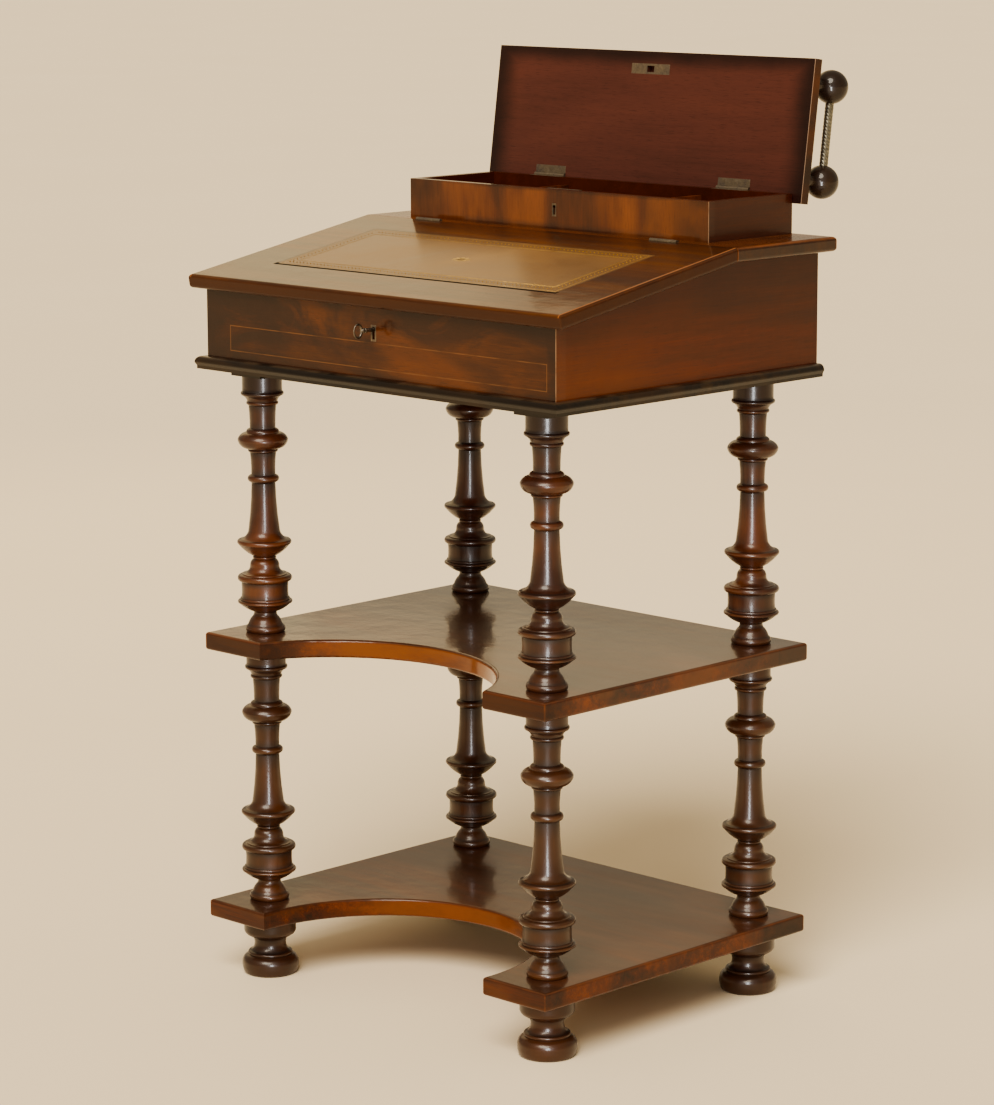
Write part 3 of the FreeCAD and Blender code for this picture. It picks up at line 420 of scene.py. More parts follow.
def turned(name, outline, middle, level, closed):
    points, sides = followed(outline), turning["sides"]
    verts, faces, rings, wear, dirt = [], [], [], [], []
    for (radius, height), bulge in zip(points, reliefOf(points)):
        count = sides if radius > 0 else 1
        rings.append(range(len(verts), len(verts) + count))
        for turn in range(count):
            angle = math.tau * turn / sides
            x, y = middle.x + radius * math.cos(angle), middle.y + radius * math.sin(angle)
            verts.append((x, y, level + height))
            wear.append(max(0.0, min(1.0, bulge)))
            dirt.append(max(0.0, min(1.0, -bulge)))
    for low, high in zip(rings, rings[1:]):
        for turn in range(sides):
            after = (turn + 1) % sides
            if len(low) == 1:
                faces.append((low[0], high[after], high[turn]))
            else:
                faces.append((low[turn], low[after], high[after], high[turn]))
    if closed:
        faces.append(tuple(reversed(rings[0])))
    faces.append(tuple(rings[-1]))
    mesh = bpy.data.meshes.new(name)
    mesh.from_pydata(verts, [], faces)
    for label, values in (("wear", wear), ("dirt", dirt)):
        mesh.attributes.new(label, "FLOAT", "POINT").data.foreach_set("value", values)
    mesh.shade_smooth()
    mesh.set_sharp_from_angle(angle=turning["sharpest"])
    return added(name, mesh)


shelfTops = {
    "foot": 0.0,
    "lower_column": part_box("bottom_shelf")[1].z,
    "upper_column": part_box("middle_shelf")[1].z,
}
turnedAge = dict(
    rubbedAndSheen="#704521", rubbingAndSheen=0.5, patches=(22.0, 2.0, 0.42, 0.66),
    olive="#3a220b", oliveFrom=0.50, oliveTo=0.20, oliveMost=0.4,
    smoke="#1b0f0c", footSmoke=0.4, footUnder=(0.03, 0.01), crownSmoke=0.75, crown=(0.622, 0.626),
    waxAndShadow="#120a07", waxAndShadowMost=0.65, waxAndShadowRough=0.25,
)


def rubbedTurning(tree, coords, colour, rough):
    # high rings are rubbed to amber, quirks hold dark wax, and the lower columns are greener
    age = turnedAge
    wear = put(tree, "ShaderNodeAttribute", attribute_name="wear").outputs["Fac"]
    dirt = put(tree, "ShaderNodeAttribute", attribute_name="dirt").outputs["Fac"]
    rubbedAndSheen = times(tree, wear, age["rubbingAndSheen"], patchy(tree, coords, *age["patches"]))
    colour = stained(tree, rubbedAndSheen, colour, age["rubbedAndSheen"])
    height = axes(tree, coords)[2]
    olive = spanned(tree, height, age["oliveTo"], age["oliveFrom"], age["oliveMost"], 0.0)
    colour = stained(tree, olive, colour, age["olive"])
    footTop = [shelfTops["lower_column"] - under for under in age["footUnder"]]
    foot = spanned(tree, height, *footTop, age["footSmoke"], 0.0)
    crown = spanned(tree, height, *age["crown"], 0.0, age["crownSmoke"])
    colour = stained(tree, most(tree, foot, crown), colour, age["smoke"])
    colour = stained(tree, times(tree, dirt, age["waxAndShadowMost"]), colour, age["waxAndShadow"])
    return colour, plus(tree, rough, times(tree, dirt, age["waxAndShadowRough"]))


turnedWood = polishedWood(
    "turnedWalnut",
    oldPolish(
        "z", "#20100a", "#341a0f", "#4c2713", amberTint="#653516", amber=0.45, amberFrom=0.5,
        streak=(6, 90), fine=(24, 600), figure=(4, 14), patch=(8, 14), shares=(0.3, 0.15, 0.45),
        shine=0.35, coat=0.6, coatRough=0.17,
    ),
    extra=rubbedTurning,
)

turnedWork = bpy.data.collections.new("turnedWork")  # what the studio's own light for it reaches
for kind, level in shelfTops.items():
    for corner in corners:
        node = f"{kind}_{corner}"
        outline = turning["foot"] if kind == "foot" else turning["column"]
        piece = turned(f"{node}_turned", outline, middleOf(node), level, kind != "foot")
        piece.data.materials.append(turnedWood)
        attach(piece, "stand")
        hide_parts(node)
        turnedWork.objects.link(piece)
print("stage: turned work")


# shelves

shelf = dict(
    topSkin=(0.0032, 0.0006), stain=((4.5, 7.5, 7.5), (4.0, 0.6, 0.8)), bleaching=0.72,
    bleached=[(0.32, "#33231c"), (0.5, "#473226"), (0.68, "#5f4230")],
    patches=((9, 9, 30), (2, 5, 1)), polished="#63340f", polishedFrom=(0.42, 0.6), polishedMost=0.6,
    lobeFrom=(0.125, 0.155), lobeRun=(0.006, 0.06), lobeTint="#221009", lobeBare=0.7,
    rearRun=(0.13, 0.02), rearTint="#1c0e09", rearMost=0.75,
    hollowRun=(0.19, 0.23), glow="#79400f", glowFrom=(0.36, 0.6),
    joint=0.115, jointLine=(0.0006, 0.0016), jointTint="#2a130a", jointMost=0.7,
    arris=0.0022, rubbedAndSheen="#8a4c20", rubbingAndSheen=0.6,
)
shelfAges = dict(
    middle_shelf=dict(coat=1.0, lobeDarkening=0.7, glow=(0.35, 0.85)),
    bottom_shelf=dict(coat=0.6, lobeDarkening=0.15, glow=(0.1, 0.55)),
)


def shelfFinish(box, age):
    low, high = box

    def step(tree, coords, colour, rough):
        x, y, z = axes(tree, coords)
        # years of light have bleached the top face
        top = spanned(tree, z, *(high.z - deep for deep in shelf["topSkin"]))
        stretch, grain = shelf["stain"]
        stain = cloud(tree, stretched(tree, coords, stretch), 1.0, *grain)
        bleached = ramped(tree, stain, shelf["bleached"])
        colour = mixed(tree, times(tree, top, shelf["bleaching"]), colour, bleached)
        # the edges are polished in patches, darker at the front lobes and the rear, golden in the hollow
        edges = minus(tree, 1.0, top)
        patches = cloud(tree, stretched(tree, coords, *shelf["patches"]), 1.0)
        polished = spanned(tree, patches, *shelf["polishedFrom"], 0.0, shelf["polishedMost"])
        colour = stained(tree, times(tree, edges, polished), colour, shelf["polished"])
        lobe = spanned(tree, absolute(tree, x), *shelf["lobeFrom"])
        front = spanned(tree, y, *(low.y + run for run in shelf["lobeRun"]), 1.0, 0.0)
        fore = times(tree, edges, times(tree, lobe, front))
        colour = stained(tree, times(tree, fore, age["lobeDarkening"]), colour, shelf["lobeTint"])
        rear = spanned(tree, y, *(high.y - run for run in shelf["rearRun"]), 0.0, shelf["rearMost"])
        colour = stained(tree, times(tree, edges, rear), colour, shelf["rearTint"])
        hollow = spanned(tree, y, *(low.y + run for run in shelf["hollowRun"]), 1.0, 0.0)
        knee = times(tree, edges, minus(tree, 1.0, lobe), hollow)
        glow = times(tree, knee, spanned(tree, patches, *shelf["glowFrom"], *age["glow"]))
        colour = stained(tree, glow, colour, shelf["glow"])
        # a glued joint shows across the edge
        joint = spanned(tree, apart(tree, y, shelf["joint"]), *shelf["jointLine"], shelf["jointMost"], 0.0)
        colour = stained(tree, times(tree, joint, edges), colour, shelf["jointTint"])
        colour, rough = wornAndSheen(
            tree, coords, colour, rough, box, shelf["arris"], shelf["rubbedAndSheen"], shelf["rubbingAndSheen"]
        )
        return colour, rough, times(tree, fore, shelf["lobeBare"] * age["lobeDarkening"])

    return step


for node, age in shelfAges.items():
    wood = oldPolish(
        "x", "#260f06", "#481d09", "#743508", amber=0.35, streak=(4, 110), figure=(2.5, 15),
        coat=age["coat"], coatRough=0.1,
    )
    dress(polishedWood(node + "Walnut", wood, extra=shelfFinish(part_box(node), age)), node)
print("stage: shelves")


# writing box: front with its stringing, plain sides, ebonised moulding and pads

sideWood = oldPolish(
    "y", "#2b0f05", "#491a05", "#652606", amberTint="#6d2a04", amberFrom=0.5,
    streak=(4, 90), figure=(2, 6), patch=(3, 5), shares=(0.25, 0.18, 0.4),
    gloss=0.45, coat=0.6, coatRough=0.16,
)
caseFront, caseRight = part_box("carcase_front"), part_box("carcase_right")
# darkening of the panels, partly dust and partly painted shade
smoke = dict(
    riseFrom=0.055, riseMost=0.9, rearMost=0.45, rim=0.012, rimMost=0.5,
    patches=(5.0, 3.0, 0.3, 0.7, 0.45, 1.0), strength=0.5, tint="#240f07",
    glowRun=(0.02, 0.24), glowRise=(0.01, 0.1), glowFigure=(12.0, 4.0, 0.6, 0.8), glowTint="#8a4a0e",
)


def dustedAndShaded(box, glow=0.0):
    # dark towards the top edge and the back, partly dust and partly painted shade, and warm low at the front
    low, high = box

    def step(tree, coords, colour, rough):
        _, y, z = axes(tree, coords)
        # painted shade with dust, rising towards the top and the back
        rise = spanned(tree, z, low.z + smoke["riseFrom"], high.z, 0.0, smoke["riseMost"], soft=False)
        rear = spanned(tree, y, (low.y + high.y) / 2, high.y, 0.0, smoke["rearMost"], soft=False)
        rim = spanned(tree, y, high.y - smoke["rim"], high.y, 0.0, smoke["rimMost"])
        shade = times(tree, plus(tree, most(tree, rise, rear), rim), patchy(tree, coords, *smoke["patches"]))
        run = spanned(tree, y, *(low.y + way for way in smoke["glowRun"]), glow, 0.0, soft=False)
        lift = spanned(tree, z, *(low.z + way for way in smoke["glowRise"]), 1.0, 0.0, soft=False)
        warm = times(tree, times(tree, run, lift), cloud(tree, coords, *smoke["glowFigure"]))
        colour = stained(tree, warm, colour, smoke["glowTint"])
        shade = least(tree, times(tree, shade, smoke["strength"]), 1.0)
        return stained(tree, shade, colour, smoke["tint"]), rough

    return step


sideDustAndShade = dustedAndShaded(caseRight, glow=0.55)
dress(polishedWood("sideVeneer", sideWood, extra=sideDustAndShade), "carcase_left", "carcase_right", "carcase_back")

# the end veneer's skin, and the painted highlight line at the front corner
boardEnd = dict(
    skin=(0.0005, 0.0002), line=(0.0003, 0.0008), lineMost=0.75, tint="#a88a70",
    patches=(55.0, 3.0, 0.35, 0.55, 0.35, 1.0),
)


def endVeneer(tree, coords, box, colour, finish):
    # the side's own veneer runs over the end of a front board, with a painted highlight line at the corner
    low, high = box
    x, y, _ = axes(tree, coords)
    beside = finish(tree, coords, woodColour(tree, coords, sideWood)[0], 0.0)[0]
    colour = mixed(tree, spanned(tree, x, *(high.x - deep for deep in boardEnd["skin"])), colour, beside)
    # the light corner line is a painted highlight, broken in patches
    corner = plus(tree, minus(tree, high.x, x), minus(tree, y, low.y))
    paintedGlint = spanned(tree, corner, *boardEnd["line"], boardEnd["lineMost"], 0.0)
    paintedGlint = times(tree, paintedGlint, patchy(tree, coords, *boardEnd["patches"]))
    return stained(tree, paintedGlint, colour, boardEnd["tint"])


frontAge = dict(
    riseRun=(0.03, 0.02), riseMost=0.85, footRun=0.03, footMost=0.45, leftReach=0.6, leftMost=0.8,
    rim=(0.014, 0.004), rimMost=0.5, wander=((7, 7, 16), (4.0, 0.6, 1.2), (0.36, 0.64, 0.1, 1.0)),
    darkest=0.8, tint="#24120c",
)
stringing = dict(
    width=0.0010, left=0.036, right=0.012, bottom=0.0219, top=0.0478, tint="#6f4727",
    patches=(30.0, 2.0, 0.35, 0.6, 0.15, 0.85),
)


def frontFinish(tree, coords, colour, rough):
    # the veneer is darker along the top and towards the left, and a light line is let into it
    age = frontAge
    low, high = caseFront
    x, _, z = axes(tree, coords)
    riseFrom, riseTo = age["riseRun"]
    rise = spanned(tree, z, low.z + riseFrom, high.z - riseTo, 0.0, age["riseMost"], soft=False)
    foot = spanned(tree, z, low.z, low.z + age["footRun"], age["footMost"], 0.0)
    left = spanned(tree, x, low.x, high.x * age["leftReach"], age["leftMost"], 0.0, soft=False)
    rim = spanned(tree, absolute(tree, x), *(high.x - run for run in age["rim"]), 0.0, age["rimMost"])
    scale, grain, span = age["wander"]
    wander = spanned(tree, cloud(tree, stretched(tree, coords, scale), 1.0, *grain), *span)
    shade = plus(tree, times(tree, plus(tree, rise, foot, left), wander), rim)
    colour = stained(tree, least(tree, shade, age["darkest"]), colour, age["tint"])
    box = (
        (low.x + stringing["left"], low.z + stringing["bottom"]),
        (high.x - stringing["right"], low.z + stringing["top"]),
    )
    line = frameLine(tree, x, z, box, stringing["width"])
    line = times(tree, line, patchy(tree, coords, *stringing["patches"]))
    colour = stained(tree, line, colour, stringing["tint"])
    return endVeneer(tree, coords, caseFront, colour, sideDustAndShade), rough


frontWood = oldPolish(
    "x", "#281109", "#43200b", "#603213", amberTint="#773f18", amber=0.45, amberFrom=0.5,
    streak=(6, 110), figure=(8, 24), patch=(6, 14), sway=1.4, shares=(0.25, 0.15, 0.5),
    coat=0.7, coatRough=0.14,
)
dress(polishedWood("frontVeneer", frontWood, extra=frontFinish), "carcase_front")


def ebonised(name, extra=None):
    # black stain that has browned where hands and dusters reach
    wood = oldPolish(
        "x", "#0e0906", "#1c120c", "#30200f", amberTint="#3a2410", amber=0.45, gloss=0.4, coat=0.8
    )
    return polishedWood(name, wood, extra=extra)


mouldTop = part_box("base_moulding_front")[1].z
moulding = dict(rim=(0.0022, 0.0004), patches=(26.0, 2.0, 0.35, 0.6), rubbingAndSheen=0.5, rubbedAndSheen="#5a4a3a")


def mouldFinish(tree, coords, colour, rough):
    # the top rim is lightened in patches: a painted highlight along the moulding's top edge
    rim = spanned(tree, axes(tree, coords)[2], *(mouldTop - deep for deep in moulding["rim"]))
    rubbedAndSheen = times(tree, rim, patchy(tree, coords, *moulding["patches"]), moulding["rubbingAndSheen"])
    return stained(tree, rubbedAndSheen, colour, moulding["rubbedAndSheen"]), rough


dress(
    ebonised("ebonisedMoulding", mouldFinish),
    *[f"base_moulding_{side}" for side in ("front", "left", "right")],
)
dress(ebonised("ebonisedPads"), *[f"column_pad_{corner}" for corner in corners])
dress(
    polishedWood("innerWood", oldPolish(
        "x", "#3a1c12", "#5c2f1c", "#784026", gloss=0.55, coat=0.0, relief=0.3, poreDepth=0.5
    )),
    "carcase_base", "stationery_floor", "stationery_divider_left", "stationery_divider_right", "pen_tray",
)
print("stage: writing box")


# top board and writing slope

topWood = oldPolish(
    "x", "#241207", "#43220b", "#5f350c", amber=0.35, streak=(4, 110), figure=(2.5, 15),
    coat=0.85, coatRough=0.11,
)
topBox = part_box("top_board")
topReflectionAndWear = dict(
    skin=(0.003, 0.001), patches=(12.0, 3.0, 0.3, 0.6, 0.15, 0.6), reflectionTint="#864a1e",
    edge="#281006", edgeMost=0.7, arris=0.0024, rubbedAndSheen="#8e4c1c", rubbingAndSheen=0.7,
)


def topFinish(tree, coords, colour, rough):
    # a painted golden reflection where the top shows beside the box, dark on its edges
    flat = spanned(tree, axes(tree, coords)[2], *(topBox[1].z - deep for deep in topReflectionAndWear["skin"]))
    colour = stained(tree, times(tree, minus(tree, 1.0, flat), topReflectionAndWear["edgeMost"]), colour, topReflectionAndWear["edge"])
    # a painted reflection turns the flat top golden in patches
    reflectedPatches = times(tree, flat, patchy(tree, coords, *topReflectionAndWear["patches"]))
    colour = stained(tree, reflectedPatches, colour, topReflectionAndWear["reflectionTint"])
    return wornAndSheen(tree, coords, colour, rough, topBox, topReflectionAndWear["arris"], topReflectionAndWear["rubbedAndSheen"], topReflectionAndWear["rubbingAndSheen"])


dress(polishedWood("topBoardWood", topWood, extra=topFinish), "top_board")

leather = dict(
    width=0.400, depth=0.146, gap=0.0006, lineInset=0.0045, bandInset=0.0105, innerInset=0.0165,
    pairGap=0.0022, line=0.0006, leaf=0.00006, stampEvery=0.0052, stampSize=0.0009, centreSize=0.011,
    proud=0.00003, gapShadowRun=(0.072, 0.066), gapShadowLeast=0.3,
)
slopeLow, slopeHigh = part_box("slope_board")
slopeRun = (slopeAxis.y - slopeLow.y) / math.cos(slopePitch)
slope = dict(
    thickness=0.015, pastHinge=0.004,
    under=(-0.004, -0.001), underTint="#3c1c0b", underMost=0.85, underBare=0.6,
    arris=0.0022, rubbedAndSheen="#70401c", rubbingAndSheen=0.35,
    endLines=(0.0029, 0.0016), lineFrom=(0.0004, 0.001), lineMost=0.7, lineTint="#a5683a",
    endFrom=(0.0024, 0.004), endMost=0.5, upper=(-0.003, -0.0022),
    waxAndShadow=0.0034, gapShadowSkin=(-0.0006, -0.0002), gapShadowTint="#100805", waxAndShadowMost=0.9, waxAndShadowRough=0.95,
)
slopeBox = (
    Vector((slopeLow.x, -slopeRun, -slope["thickness"])),
    Vector((slopeHigh.x, slope["pastHinge"], 0.0)),
)
leatherMiddle = onSlope.inverted() @ middleOf("leather_writing_surface")
leatherMiddle.z = leather["proud"]


def gapShadowRun(tree, y):
    # the painted shadow in the gap round the leather is strongest along its front
    return spanned(tree, y, *(leatherMiddle.y - run for run in leather["gapShadowRun"]), 1.0, leather["gapShadowLeast"])


def slopeFinish(tree, coords, colour, rough):
    # painted shade under the arris, painted highlight lines with painted shade beside them at both ends, and
    # a painted shadow line in the gap round the leather
    x, y, z = axes(tree, coords)
    # painted shade on the edge below the top arris
    under = spanned(tree, z, *slope["under"], 1.0, 0.0)
    colour = stained(tree, times(tree, under, slope["underMost"]), colour, slope["underTint"])
    halfX, halfY = leather["width"] / 2 + leather["gap"], leather["depth"] / 2 + leather["gap"]
    field = [(side * halfX, leatherMiddle.y + side * halfY) for side in (-1, 1)]
    # a painted shadow line in the gap round the leather, strongest at the front
    waxAndShadow = times(tree, frameLine(tree, x, y, field, slope["waxAndShadow"]), gapShadowRun(tree, y))
    waxAndShadow = times(tree, waxAndShadow, spanned(tree, z, *slope["gapShadowSkin"]))
    colour, rough = wornAndSheen(
        tree, coords, colour, rough, slopeBox, slope["arris"], slope["rubbedAndSheen"], slope["rubbingAndSheen"]
    )
    # at both ends, painted highlight lines along the arris and painted shade beside them
    inwards = minus(tree, slopeHigh.x, absolute(tree, x))
    topLine, sideLine = slope["endLines"]
    onTop = apart(tree, inwards, topLine)
    onSide = plus(tree, inwards, absolute(tree, plus(tree, z, sideLine)))
    lines = spanned(tree, least(tree, onTop, onSide), *slope["lineFrom"], slope["lineMost"], 0.0)
    ends = spanned(tree, inwards, *slope["endFrom"], slope["endMost"], 0.0)
    upper = spanned(tree, z, *slope["upper"])
    colour = stained(tree, times(tree, ends, upper), colour, slope["underTint"])
    colour = stained(tree, times(tree, lines, upper), colour, slope["lineTint"])
    colour = stained(tree, times(tree, waxAndShadow, slope["waxAndShadowMost"]), colour, slope["gapShadowTint"])
    rough = most(tree, rough, times(tree, waxAndShadow, slope["waxAndShadowRough"]))
    return colour, rough, most(tree, waxAndShadow, times(tree, under, slope["underBare"]))


dress(polishedWood("slopeWood", topWood, pivot=onSlope, extra=slopeFinish), "slope_board")
print("stage: boards")


# leather writing surface with its tooling

hide = dict(
    pebbles=900.0, handled=(7.0, 4.0, 0.6, 0.6), creases=((60, 140, 60), (4.0, 0.6, 1.0)),
    tones=[(0.3, "#684a28"), (0.52, "#7c5b33"), (0.7, "#8e6b3d")],
    border="#5c3c18", borderFrom=(-0.001, 0.001), borderMost=0.45,
    crease="#6b4520", creaseFrom=(0.6, 0.75), creaseMost=0.3, creaseRelief=0.6,
    waxAndShadow="#120b06", gapShadowFrom=(0.0018, 0.0012), waxAndShadowRough=0.95,
    relief=0.22, depth=0.0003, roughFrom=(0.3, 0.7), roughTo=(0.34, 0.5), coat=0.6,
)
hidePolish = {"Coat IOR": polish["ior"], "Coat Roughness": 0.2, "Specular IOR Level": 0.3}


def leatherHide():
    material, tree, shader = newMaterial("tanHide")
    coords = objectCoords(tree, onSlope)
    x, y, _ = axes(tree, coords)
    inputs = {"Vector": coords, "Scale": hide["pebbles"]}
    pebbles = put(tree, "ShaderNodeTexVoronoi", inputs, feature="SMOOTH_F1").outputs["Distance"]
    handled = cloud(tree, coords, *hide["handled"])
    stretch, grain = hide["creases"]
    creases = cloud(tree, stretched(tree, coords, stretch), 1.0, *grain)
    colour = ramped(tree, handled, hide["tones"])
    # the border band outside the inner lines is darker than the worn field
    halfX, halfY = (leather[way] / 2 - leather["innerInset"] for way in ("width", "depth"))
    overY = minus(tree, apart(tree, y, leatherMiddle.y), halfY)
    over = most(tree, minus(tree, absolute(tree, x), halfX), overY)
    border = times(tree, spanned(tree, over, *hide["borderFrom"]), hide["borderMost"])
    colour = stained(tree, border, colour, hide["border"])
    creased = spanned(tree, creases, *hide["creaseFrom"], 0.0, hide["creaseMost"])
    colour = stained(tree, creased, colour, hide["crease"])
    # its outer edge is dark with painted shadow from the gap, most of all at the front
    outer = spanned(tree, over, *(leather["innerInset"] - inset for inset in hide["gapShadowFrom"]))
    edge = times(tree, outer, gapShadowRun(tree, y))
    colour = stained(tree, edge, colour, hide["waxAndShadow"])
    matt = spanned(tree, handled, *hide["roughFrom"], *hide["roughTo"])
    matt = most(tree, matt, times(tree, edge, hide["waxAndShadowRough"]))
    height = plus(tree, pebbles, times(tree, creases, hide["creaseRelief"]))
    fill(tree, shader, {
        "Base Color": colour,
        "Roughness": matt,
        "Normal": bumped(tree, hide["relief"], hide["depth"], height),
        "Coat Weight": times(tree, minus(tree, 1.0, edge), hide["coat"]),
        **hidePolish,
    })
    return material


gilding = dict(
    cloud=(60.0, 4.0, 0.65), keptAlong=(-0.19, 0.12), kept=(-0.16, 0.06), span=(0.35, 0.6),
    tones=[(0.35, "#8c6828"), (0.6, "#d8ae52")], metal=(0.0, 0.5), rough=(0.5, 0.32), coat=(0.7, 0.3),
)


def goldLeaf():
    # gold that shows the hide where it is rubbed, most of all towards the left end
    material, tree, shader = newMaterial("rubbedGold")
    coords = objectCoords(tree, onSlope)
    kept = spanned(tree, axes(tree, coords)[0], *gilding["keptAlong"], *gilding["kept"], soft=False)
    rubbedAndSheen = plus(tree, cloud(tree, coords, *gilding["cloud"]), kept)
    fill(tree, shader, {
        "Base Color": ramped(tree, rubbedAndSheen, gilding["tones"]),
        "Metallic": spanned(tree, rubbedAndSheen, *gilding["span"], *gilding["metal"]),
        "Roughness": spanned(tree, rubbedAndSheen, *gilding["span"], *gilding["rough"]),
        "Coat Weight": spanned(tree, rubbedAndSheen, *gilding["span"], *gilding["coat"]),
        **hidePolish,
    })
    return material


def geometryTree(name, inputs, takesGeometry=False):
    tree = bpy.data.node_groups.new(name, "GeometryNodeTree")
    tree.interface.new_socket("Geometry", in_out="OUTPUT", socket_type="NodeSocketGeometry")
    if takesGeometry:
        tree.interface.new_socket("Geometry", in_out="INPUT", socket_type="NodeSocketGeometry")
    for label, kind, value in inputs:
        socket = tree.interface.new_socket(label, in_out="INPUT", socket_type="NodeSocket" + kind)
        if value is not None:
            socket.default_value = value
    return tree, tree.nodes.new("NodeGroupInput").outputs, tree.nodes.new("NodeGroupOutput").inputs[0]


def finished(tree, geometry, material, output):
    real = put(tree, "GeometryNodeRealizeInstances", {0: geometry})
    painted = put(tree, "GeometryNodeSetMaterial", {0: real.outputs[0], "Material": material})
    tree.links.new(painted.outputs[0], output)


def grown(name, tree, values, matrix, seed=None):
    # runs a tree on a holder and keeps what it makes as a plain mesh, in place
    holder = added(name + "Holder", seed or bpy.data.meshes.new(name + "Seed"))
    modifier = holder.modifiers.new("grown", "NODES")
    modifier.node_group = tree
    for item in tree.interface.items_tree:
        if item.item_type == "SOCKET" and item.in_out == "INPUT" and item.name in values:
            modifier[item.identifier] = values[item.name]
    depsgraph = bpy.context.evaluated_depsgraph_get()
    mesh = bpy.data.meshes.new_from_object(holder.evaluated_get(depsgraph), depsgraph=depsgraph)
    bpy.data.objects.remove(holder)
    mesh.transform(matrix)
    mesh.name = name
    return added(name, mesh)


rosette = dict(petals=10, facets=8, spread=0.5, long=0.42, slim=0.23, squash=(1.2, 0.75, 1.0))


def toolingTree():
    # three gilt lines, a row of small stamps between them, and a rosette in the middle
    tree, given, output = geometryTree("leatherTooling", [
        ("Width", "Float", leather["width"]), ("Depth", "Float", leather["depth"]),
        ("Line Inset", "Float", leather["lineInset"]), ("Band Inset", "Float", leather["bandInset"]),
        ("Inner Inset", "Float", leather["innerInset"]), ("Line", "Float", leather["line"]),
        ("Stamp Spacing", "Float", leather["stampEvery"]), ("Stamp Size", "Float", leather["stampSize"]),
        ("Centre Size", "Float", leather["centreSize"]), ("Material", "Material", None),
    ])

    def rectangle(wide, deep):
        inputs = {"Width": wide, "Height": deep}
        return put(tree, "GeometryNodeCurvePrimitiveQuadrilateral", inputs, mode="RECTANGLE").outputs[0]

    def inset(way):
        twice = times(tree, way, 2.0)
        return rectangle(minus(tree, given["Width"], twice), minus(tree, given["Depth"], twice))

    strip = rectangle(given["Line"], leather["leaf"])
    insets = [given["Line Inset"], given["Inner Inset"], plus(tree, given["Inner Inset"], leather["pairGap"])]
    lines = [
        put(tree, "GeometryNodeCurveToMesh", {"Curve": inset(way), "Profile Curve": strip}).outputs[0]
        for way in insets
    ]
    inputs = {"Curve": inset(given["Band Inset"]), "Length": given["Stamp Spacing"]}
    along = put(tree, "GeometryNodeResampleCurve", inputs, mode="LENGTH").outputs[0]
    points = put(tree, "GeometryNodeCurveToPoints", {"Curve": along}, mode="EVALUATED").outputs
    inputs = {"Vertices": 4, "Radius": given["Stamp Size"], "Depth": leather["leaf"]}
    leaf = put(tree, "GeometryNodeMeshCylinder", inputs).outputs["Mesh"]
    inputs = {"Points": points["Points"], "Instance": leaf, "Rotation": points["Rotation"]}
    stamped = put(tree, "GeometryNodeInstanceOnPoints", inputs).outputs[0]
    ways = ("spread", "long", "slim")
    spread, long, slim = (times(tree, given["Centre Size"], rosette[way]) for way in ways)
    inputs = {"Vertices": rosette["petals"], "Radius": spread}
    ring = put(tree, "GeometryNodeMeshCircle", inputs).outputs["Mesh"]
    turn = times(tree, put(tree, "GeometryNodeInputIndex").outputs[0], math.tau / rosette["petals"])
    inputs = {"Vertices": rosette["facets"], "Radius": 1.0, "Depth": leather["leaf"]}
    petal = put(tree, "GeometryNodeMeshCylinder", inputs).outputs["Mesh"]
    petals = put(tree, "GeometryNodeInstanceOnPoints", {
        "Points": ring,
        "Instance": petal,
        "Rotation": put(tree, "ShaderNodeCombineXYZ", {2: turn}).outputs[0],
        "Scale": put(tree, "ShaderNodeCombineXYZ", {0: long, 1: slim, 2: 1.0}).outputs[0],
    }).outputs[0]
    middle = put(tree, "GeometryNodeTransform", {"Geometry": petals, "Scale": rosette["squash"]}).outputs[0]
    joined = put(tree, "GeometryNodeJoinGeometry")
    for part in lines + [stamped, middle]:
        tree.links.new(part, joined.inputs[0])
    finished(tree, joined.outputs[0], given["Material"], output)
    return tree


dress(leatherHide(), "leather_writing_surface")
onLeather = onSlope @ Matrix.Translation(leatherMiddle)
tooling = grown("leather_tooling", toolingTree(), {"Material": goldLeaf()}, onLeather)
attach(tooling, "slope")
print("stage: leather")


# stationery box and its lid

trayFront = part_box("stationery_front")
trayDustAndShade = dustedAndShaded(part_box("stationery_right"))
trayAge = dict(
    ends=(0.08, 0.01), endsMost=0.8, lower=0.009, lowerMost=0.65, upper=0.004, upperMost=0.6,
    patches=(16.0, 3.0, 0.3, 0.6, 0.5, 1.0), tint="#21100a",
)


def trayFinish(tree, coords, colour, rough):
    # dark round the rim of the front
    low, high = trayFront
    x, _, z = axes(tree, coords)
    span = (high.x - run for run in trayAge["ends"])
    ends = spanned(tree, absolute(tree, x), *span, 0.0, trayAge["endsMost"])
    lower = spanned(tree, z, low.z, low.z + trayAge["lower"], trayAge["lowerMost"], 0.0)
    upper = spanned(tree, z, high.z - trayAge["upper"], high.z, 0.0, trayAge["upperMost"])
    shade = times(tree, most(tree, ends, lower, upper), patchy(tree, coords, *trayAge["patches"]))
    colour = stained(tree, shade, colour, trayAge["tint"])
    return endVeneer(tree, coords, trayFront, colour, trayDustAndShade), rough


trayWood = oldPolish(
    "z", "#351b12", "#613219", "#8a4f27", amberTint="#965629", amber=0.5, amberFrom=0.48,
    streak=(6, 38), figure=(4, 17), patch=(5, 12), sway=0.9, shares=(0.3, 0.12, 0.75),
    coat=0.7, coatRough=0.12,
)
dress(polishedWood("trayVeneer", trayWood, extra=trayFinish), "stationery_front")
dress(
    polishedWood("traySides", sideWood, extra=trayDustAndShade),
    *[f"stationery_{side}" for side in ("left", "right", "back")],
)

